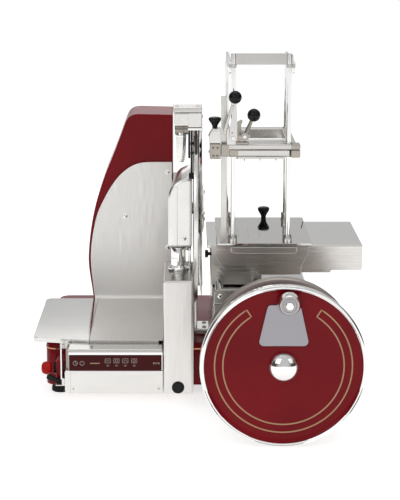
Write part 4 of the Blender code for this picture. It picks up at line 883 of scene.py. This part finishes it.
# Wheel support
def make_housing():
    body = [(16.5, -150), (30, -150), (31.8, -149.2), (32.5, -147), (34.5, -125), (37.5, -119.5), (43, -118),
            (129, -118), (133.5, -117), (135.7, -114), (136, -110), (136, -104), (135, -101), (132.5, -100),
            (40, -100), (37, -96), (35.5, -90), (32, 99.7), (16.5, 99.7)]
    turned("housing_drum", body, "Y", WHEEL_XZ, "drum", "shaft_housing", 160)
    screws("housing_screw", ring_of(WHEEL_XZ, 120, 6, 30), -99.8, "Y", 1, 4, "shaft_housing", kind="hex")


def make_pedestal():
    corners = ((52, 100.5), (240, 100.5), (240, 206), (148, 216), (52, 216))
    outline = rounded(corners, [0, 0, 10, 4, 3])
    cut_plate("pedestal_body", outline, "Y", 100, 384.5, "steel_x", "pedestal", 2.5)
    cut_plate("pedestal_lid", outline, "Y", 384.8, 387, "steel_x", "pedestal_cover", 0.6)
    screws("pedestal_screw", ((62, 112), (230, 112), (230, 196), (62, 205)), 387, "Y", 1, 3.4,
           "pedestal_cover")
    collar = [(32.5, 87), (43, 87), (44, 88), (44, 98.5), (32.5, 98.5)]
    turned("pedestal_collar", collar, "Y", WHEEL_XZ, "cast", "shaft_housing", 96, 0.6)
    screws("collar_screw", ring_of(WHEEL_XZ, 38.5, 4, 45), 87, "Y", -1, 2.6, "shaft_housing", kind="hex")


# Rails and carriage
RAIL_X = (64, 132)
RAIL_Z = 235
RAIL_RADIUS = 8
RAIL_SPAN = (-36, 409)


def make_rails():
    boxed("rail_bed", (52, -45, 216.3), (144, 418, 221.5), "steel_y", "carriage_rails", 1)
    for i, (y0, y1, low) in enumerate(((-44.5, -34.3, 195), (407.3, 417.5, 221.2))):
        cut_plate("rail_end_%d" % i, rounded(rectangle(53.5, low, 142.5, 246.5), [0, 0, 7, 7]), "Y", y0, y1,
                  "cast", "carriage_rails", 1)
    for i, x in enumerate(RAIL_X):
        start, end = ((x, y, RAIL_Z) for y in RAIL_SPAN)
        rod("rail_rod_%d" % i, start, end, RAIL_RADIUS, "chrome", "carriage_rails")
        for j, (y, side) in enumerate(((-44.5, -1), (417.5, 1))):
            screw("rail_nut_%d%d" % (i, j), (x, RAIL_Z, y), "Y", side, 4.6, "carriage_rails", kind="hex")


STRIP = (87, 291.5, 210.5, 303.5)
STRIP_Y = (57, 62.2)
STRIP_FEET = (100, 196)


def make_carriage():
    boxed("table_sheet", (42, 70, 299), (336, 290, 305), "plate", "carriage_table", 1.2)
    boxed("table_rib", (50, 74, 291.3), (325, 285, 298.9), "cast", "carriage_table", 1.2)
    boxed("index_boss", (54, 72.5, 280), (64, 83.5, 291.2), "cast", "carriage_table", 1)
    bearing = [(4.3, 304), (7.8, 304), (7.8, 314), (4.3, 314)]
    turned("feed_bearing", bearing, "X", (180, 285), "cast", "carriage_table", 40, 0.5)
    left = flowing([(49, 303.5), (49.8, 290), (52.5, 276), (56.5, 264), (62, 253)], 6)
    right = flowing([(218, 248), (218.8, 260), (220.5, 268), (224.5, 276), (230.5, 289), (233.5, 303.5)], 6)
    cut_plate("skirt_left", left + [(135, 253), (137, 248)] + right, "Y", 66, 69, "steel_x", "carriage_skirt",
              1)
    bright = flowing([(218.3, 248.2), (219.1, 260), (220.8, 268), (224.8, 276), (230.8, 289), (233.8, 303.5)],
                     6)
    band("skirt_bright_edge", bright, 2, "Y", 65, 66.2, "chrome", "carriage_skirt", 0.3)
    # The pressed line is a proud band of the paler casting: painted highlight along the crease.
    pressed = flowing([(56, 302), (58, 288), (62.5, 276), (70, 264), (76, 256)], 6)
    band("skirt_pressed_line_highlight", pressed, 1.2, "Y", 65.6, 66.2, "pale", "carriage_skirt", 0.2)
    corners = ((219, 303.5), (219, 252), (276, 252), (276.5, 256.5), (335.6, 256.5), (335.6, 303.5))
    cut_plate("skirt_right", rounded(corners, [0, 0, 1.5, 1.5, 3, 2]), "Y", 68, 69.7, "steel_x",
              "carriage_skirt", 0.5)
    x0, z0, x1, z1 = STRIP
    cut_plate("handle_strip", rounded(rectangle(x0, z0, x1, z1), [5.5, 5.5, 1, 1]), "Y", *STRIP_Y, "steel_x",
              "carriage_handle", 1.6)
    rim = rounded(((x0, z1), (x0, z0), (x1, z0), (x1, z1)), [0, 5.5, 5.5, 0])
    band("handle_rim", rim, 1.2, "Y", STRIP_Y[0] - 0.6, STRIP_Y[1], "chrome", "carriage_handle", 0.3)
    for i, x in enumerate(STRIP_FEET):
        foot = [(0, STRIP_Y[1] - HAIR), (4, STRIP_Y[1] - HAIR), (4.6, 65.7), (0, 65.7)]
        turned("handle_foot_%d" % i, foot, "Y", (x, (z0 + z1) / 2), "chrome", "carriage_handle", 40)
    knob = [(0, 37.8), (6, 37.8), (7.2, 38.6), (7.5, 39.6), (7.5, 42.4), (6.8, 43.4), (5, 44), (3, 44.6),
            (3, 53.7), (0, 53.7)]
    turned("index_knob_head", knob, "X", (78, 286.5), "black", "index_knob", 48)


PLATE = (60, 63, 305.3, 240, 308, 310)
POSTS = ((90, 72, 666.8), (193.5, 72, 666.8), (84, 285, 630), (202, 285, 630))
STROKES_X = (64, 83, 102.5, 123, 143.5)
STROKE_SPAN = (120, 205)
TEETH = 46
RACK_Z = (340, 570)
RACK_X = (67, 68.4, 78.2)
RACK_TOP = 587.2
POST_FOOT = 310.3
POST_RADIUS = 4.4


def make_meat_plate():
    x0, y0, z0, x1, y1, z1 = PLATE
    outline = rounded(rectangle(x0, y0, x1, y1), [2, 2, 3, 3], 4)
    cut_plate("meat_plate_sheet", outline, "Z", z0, z1, "meat", "meat_plate", 1)
    bm = new()
    for x in STROKES_X:
        slab(bm, rectangle(x - 0.6, STROKE_SPAN[0], x + 0.6, STROKE_SPAN[1]), "Z", z1 - 0.2, z1 + 0.1)
    finish("meat_plate_strokes", bm, "dark_cast", "meat_plate")
    band("meat_plate_slot", [(x1 - 11, y1 - 110), (x1 - 3, y1 - 45)], 2.2, "Z", z1 - 0.2, z1 + 0.1, "groove",
         "meat_plate")
    for i, (x, y, top) in enumerate(POSTS):
        collar = [(4.7, z1), (8.6, z1), (8.6, z1 + 1.8), (8, z1 + 2.6), (8, 323.6), (7.4, 325), (4.7, 325)]
        turned("post_collar_%d" % i, collar, "Z", (x, y), "steel_z", "meat_plate", 48)
    low, high = RACK_Z
    tip, root, back = RACK_X
    pitch = (high - low) / TEETH
    rack = [(back, z1 - 1), (back, RACK_TOP), (tip, RACK_TOP)]
    for k in range(TEETH):
        rack += [(tip, high - pitch * k), (root, high - pitch * (k + 0.5))]
    rack += [(tip, low), (tip, z1 - 1)]
    cut_plate("rack_bar", rack, "Y", 74.5, 80, "steel_z", "meat_plate", 0.2, segments=1)


def make_frame():
    bm = new()
    for x, y, top in POSTS:
        bar(bm, (x, y, POST_FOOT), (x, y, top), POST_RADIUS)
    finish("frame_posts", bm, "chrome", "clamp_frame")
    cut_plate("frame_front_strap", rounded(rectangle(85, 646.3, 200.5, 667), [1, 6, 6, 1]), "Y", 74.2, 78.5,
              "steel_x", "clamp_frame", 1)
    for i, (x0, x1) in enumerate(((81.5, 86.5), (199.5, 204.5))):
        cut_plate("frame_side_strap_%d" % i, rounded(rectangle(75, 629, 290, 650), 4), "X", x0, x1, "chrome",
                  "clamp_frame", 1)
    for i, (x, y, top) in enumerate(POSTS[:2]):
        ferrule = [(4.4, top - 26), (5.8, top - 25), (5.8, top - 19.8), (4.4, top - 19)]
        turned("frame_ferrule_%d" % i, ferrule, "Z", (x, y), "steel_z", "clamp_frame", 40)


# Clamp
# The corner, link and end bars at the crosshead's two ends take the darker casting: painted shade.
BARS = (("upper", (80.8, 56, 489.3), (199, 88, 499.5), "steel_x"),
        ("lower", (96, 57.5, 476.8), (195, 87, 488.7), "satin_x"),
        ("corner", (82, 57, 476.5), (100, 87, 489.7), "dark_cast"),
        ("link", (66.9, 56.2, 476.5), (83, 69.5, 499.2), "dark_cast"),
        ("left", (81, 86, 480), (93, 272, 496), "steel_y"),
        ("right", (193.5, 86, 480), (210, 272, 496), "steel_y"),
        ("rear", (77, 270.3, 478), (210, 296, 498), "steel_x"),
        ("press_arm", (90, 170, 481), (196, 190, 489), "steel_x"),
        ("end_upper", (198.5, 56.5, 489.2), (215, 86, 499), "dark_cast"),
        ("end_lower", (197.5, 57, 474.2), (215, 85.5, 488.6), "dark_cast"),
        ("lever_bridge", (81.5, 56.5, 498.5), (118.5, 66, 504.5), "dark_cast"))
LEFT_BLOCK = ((77.6, 498.5), (94.6, 498.5), (94.6, 529), (93, 530.6), (80, 530.6), (77.6, 528))
LEVER_PINS = ((89.3, 513), (110.5, 516))
LEVER_Y = 45
BALL_RADIUS = 12.2
BALLS = {"lever_left_ball": Vector((92.5, LEVER_Y, 589.1)),
         "lever_right_ball": Vector((127.1, LEVER_Y, 556.1))}
FRONT_POSTS = (0, 1)
FRONT_BUSHES = (499.5, 473.5)
REAR_BUSHES = (498, 475.5)
PRESS_XY = (143, 179)
SPIKE_PITCH = (30, 34)


def make_crosshead():
    for name, low, high, mat in BARS:
        boxed("crosshead_" + name, low, high, mat, "clamp_crosshead", 2, 4)
    cut_plate("lever_block_left", LEFT_BLOCK, "Y", 56.3, 66, "pale", "clamp_crosshead", 1.8)
    bracket = ((96, 498.5), (104, 498.5), (104.6, 536), (107.5, 543), (104, 545.5), (96.5, 540))
    cut_plate("lever_bracket", rounded(bracket, [0, 0, 4, 3, 3, 3]), "Y", 60, 67, "dark_cast", "clamp_crosshead",
              1)
    boss = [(0, 56.3), (8.2, 56.3), (9.6, 57.5), (9.6, 60), (10.4, 60.4), (10.4, 73.5), (0, 74)]
    turned("lever_boss_right", boss, "Y", LEVER_PINS[1], "pale", "clamp_crosshead", 64, 0.6)
    for i, (x, y, top) in enumerate(POSTS):
        for j, z in enumerate(FRONT_BUSHES if i in FRONT_POSTS else REAR_BUSHES):
            bush = [(4.8, z), (7.2, z), (7.2, z + 1.4), (6.6, z + 2), (4.8, z + 2)]
            turned("crosshead_bush_%d%d" % (i, j), bush, "Z", (x, y), "chrome", "clamp_crosshead", 40)
    for i, (x, z) in enumerate(LEVER_PINS):
        pin = [(0, 40), (3, 40), (3.2, 40.3), (3.2, 57), (0, 57)]
        turned("lever_pin_%d" % i, pin, "Y", (x, z), "chrome", "clamp_crosshead", 32)


def make_press_plate():
    cut_plate("press_sheet", rounded(rectangle(96, 92, 190, 266), 6), "Z", 466, 470, "plate", "press_plate",
              1)
    cut_plate("press_rib", rounded(rectangle(135, 95, 150, 264), 3), "Z", 469.8, 475.7, "steel_y",
              "press_plate", 1.2)
    x, y = PRESS_XY
    rod("press_stem", (x, y, 474), (x, y, 480.7), 6, "chrome", "press_plate")
    bm = new()
    for i in (-1, 0, 1):
        for j in (-2, -1, 0, 1, 2):
            place = (x + i * SPIKE_PITCH[0], y + j * SPIKE_PITCH[1])
            bar(bm, (*place, 456.3), (*place, 466.4), 0.2, 2.6, 20)
    finish("press_spikes", bm, "chrome", "press_plate")


def make_clamp_block():
    upper = ((45, 501), (66.6, 501), (66.6, 528.5), (52.1, 528.5), (45, 517))
    cut_plate("clamp_upper", rounded(upper, 1.2, 4), "Y", 58, 86, "pale", "clamp_block", 1.4)
    boxed("clamp_upper_line", (46, 57.5, 524), (66.4, 58.2, 524.8), "dark_cast", "clamp_block")
    boxed("clamp_lower", (46.2, 54.2, 472), (66.4, 87.8, 500.5), "dark_cast", "clamp_block", 1.8)
    screws("clamp_screw", ((52.2, 493.5), (60.5, 493.5), (53, 478.5), (60, 478.5)), 54.2, "Y", -1, 2.3,
           "clamp_block", "dark_chrome")
    screws("clamp_side_screw", ((70, 515), (70, 484)), 45.6, "X", -1, 3, "clamp_block", "dark_chrome")
    mushroom("clamp_knob_head", (55.7, 72), 528.8, 20.5, 11.8, "clamp_knob")
    mushroom("table_knob_head", (159.5, 296), 310.3, 24.2, 12, "table_knob")


def mushroom(name, place, foot, height, radius, node):
    """Waisted knob with a broad domed head."""
    shape = [(0, 0), (0.42, 0), (0.42, 0.16), (0.46, 0.24), (0.60, 0.38), (0.80, 0.54), (0.94, 0.66),
             (1.0, 0.76), (1.0, 0.84), (0.94, 0.91), (0.78, 0.97), (0.45, 1.0), (0, 1.0)]
    profile = [(r * radius, foot + t * height) for r, t in shape]
    turned(name, profile, "Z", place, "black", node, 64)


def make_levers():
    left, right = LEVER_PINS
    axis = (left[0], LEVER_Y, left[1])
    arm = [(82.2, 512), (82.6, 530), (86.8, 556), (88.4, 579), (95, 579), (96.2, 556), (96.6, 530),
           (96.6, 512)]
    cut_plate("lever_left_arm", arm + arc(*left, 7.3, -8, -172, 10), "Y", 42.5, 48, "satin_z", "lever_left",
              1.4, origin=axis)
    link = ((85.2, 576), (71.8, 533), (70, 520), (75.2, 520), (77.5, 533), (90.5, 574))
    cut_plate("lever_left_link", rounded(link, [2, 4, 1, 1, 4, 2], 4), "Y", 40.5, 45, "steel_z", "lever_left",
              1, origin=axis)
    hole = [(0, 42.1), (1.2, 42.1), (1.2, 42.7), (0, 42.7)]
    turned("lever_left_hole", hole, "Y", (left[0] - 2, left[1] + 10.5), "groove", "lever_left", 24)
    start = Vector((right[0], LEVER_Y, right[1]))
    end = BALLS["lever_right_ball"]
    run = (end - start).normalized()
    eye = [(3.5, 40.5), (7, 40.5), (8, 41.5), (8, 48.5), (7, 49.5), (3.5, 49.5)]
    turned("lever_right_eye", eye, "Y", right, "dark_cast", "lever_right", 48)
    rod("lever_right_arm", start + run * 7, end - run * 9, 4.2, "dark_chrome", "lever_right", 0.4, 3, start)
    for name, tip in BALLS.items():
        bm = new()
        sphere(bm, tip, BALL_RADIUS, 48)
        finish(name + "_knob", bm, "black", name, origin=tip)


def soften_hidden():
    for node in HIDDEN:
        soften(NODES[node], 0.8, 2, False)


for make in (make_base, make_control_box, make_stop_button, make_panel, make_column, make_tray,
             make_deflector, make_cover, make_inlet, make_knife, make_hub_cover, make_hand_guard, make_post,
             make_sharpener, make_flywheel, make_crank, make_housing, make_pedestal, make_rails,
             make_carriage, make_meat_plate, make_frame, make_crosshead, make_press_plate, make_clamp_block,
             make_levers, soften_hidden):
    make()


# Stage, light and camera, in metres
def glow(tree, base, background, *rays):
    """Base shader for the object's light, background for the camera's rays and those kinds of ray."""
    path = add(tree, "LightPath")
    either = path.outputs["Is Camera Ray"]
    for ray in rays:
        most = add(tree, "Math", [(0, either), (1, path.outputs[ray])])
        most.operation = "MAXIMUM"
        either = most.outputs["Value"]
    return add(tree, "MixShader", [(0, either), (1, base), (2, background)]).outputs[0]


WORLD_LEVEL = 0.62
WALL_LEVEL = 0.12
WALL_FADE = (0.35, 0.80)
ABOVE_FADE = (0.30, 0.75)
FLOOR_HALF = 6
FLOOR_LIFT = 0.66
LAMPS_AIM = Vector((0, 0, 0.3))
LAMPS = (("key", (-1.5, -2.2, 1.9), 1.8, 13), ("fill", (1.9, -1.6, 1.5), 1.3, 4),
         ("top", (0.1, 0.3, 2.6), 1.8, 8), ("back", (-0.6, 2.4, 1.6), 1.5, 5))


def make_world():
    """Bright ahead, behind and above, with darker walls at the sides that the bright metal reflects."""
    world = bpy.data.worlds.new("studio")
    world.use_nodes = True
    bpy.context.scene.world = world
    tree = world.node_tree
    tree.nodes.clear()

    def step(factor, fade, start, end):
        ranged = add(tree, "MapRange", [("Value", factor)], From_Min=fade[0], From_Max=fade[1], To_Min=start,
                     To_Max=end)
        ranged.interpolation_type = "SMOOTHSTEP"
        return ranged.outputs["Result"]

    def combine(operation, *outputs):
        joined = add(tree, "Math", enumerate(outputs))
        joined.operation = operation
        return joined.outputs["Value"]

    where = add(tree, "TexCoord").outputs["Generated"]
    split = add(tree, "SeparateXYZ", [("Vector", where)])
    walls = step(combine("ABSOLUTE", split.outputs["X"]), WALL_FADE, 1, WALL_LEVEL)
    above = step(split.outputs["Z"], ABOVE_FADE, 0, 1)
    warm = add(tree, "ValToRGB", [("Fac", combine("MAXIMUM", walls, above))])
    ramp = warm.color_ramp.elements
    ramp[0].color = (0, 0, 0, 1)
    ramp[1].color = (0.97, 0.97, 0.98, 1)
    ramp.new(0.45).color = (0.47, 0.44, 0.41, 1)
    soft = add(tree, "Background", [("Color", warm.outputs["Color"])], Strength=WORLD_LEVEL)
    white = add(tree, "Background", Color=(1, 1, 1, 1))
    seen = glow(tree, soft.outputs[0], white.outputs[0], "Is Transmission Ray")
    add(tree, "OutputWorld", [("Surface", seen)])


def make_floor():
    bm = new()
    bmesh.ops.create_grid(bm, x_segments=1, y_segments=1, size=FLOOR_HALF)
    mesh = bpy.data.meshes.new("floor")
    bm.to_mesh(mesh)
    bm.free()
    floor = bpy.data.objects.new("floor", mesh)
    bpy.context.scene.collection.objects.link(floor)
    mat = shader("floor", (0.80, 0.80, 0.79), 0.0, 0.8, Specular_IOR_Level=0.1)
    tree = mat.node_tree
    plain = tree.nodes["Principled BSDF"].outputs[0]
    bright = add(tree, "Emission", Strength=FLOOR_LIFT).outputs[0]
    lifted = add(tree, "AddShader", [(0, plain), (1, bright)]).outputs[0]
    tree.links.new(glow(tree, plain, lifted, "Is Transmission Ray", "Is Glossy Ray"),
                   tree.nodes["Material Output"].inputs["Surface"])
    mesh.materials.append(mat)


def make_lamps():
    for name, place, size, power in LAMPS:
        light = bpy.data.lights.new(name, "AREA")
        light.energy = power
        light.size = size
        lamp = bpy.data.objects.new(name, light)
        lamp.location = place
        lamp.rotation_euler = (LAMPS_AIM - Vector(place)).to_track_quat("-Z", "Y").to_euler()
        bpy.context.scene.collection.objects.link(lamp)


CAMERA_PLACE = Vector((0, -2.8, 0.946))
CAMERA_PITCH = 79.07
CAMERA_LENS = 111.9
CAMERA_SHIFT = (0.03, -0.1)


def make_camera():
    data = bpy.data.cameras.new("camera")
    data.lens = CAMERA_LENS
    data.sensor_width = 36
    data.shift_x, data.shift_y = CAMERA_SHIFT
    camera = bpy.data.objects.new("camera", data)
    camera.location = CAMERA_PLACE + OFFSET
    camera.rotation_euler = (math.radians(CAMERA_PITCH), 0, 0)
    bpy.context.scene.collection.objects.link(camera)
    bpy.context.scene.camera = camera


make_world()
make_floor()
make_lamps()
make_camera()
bpy.context.scene.view_settings.view_transform = "Standard"
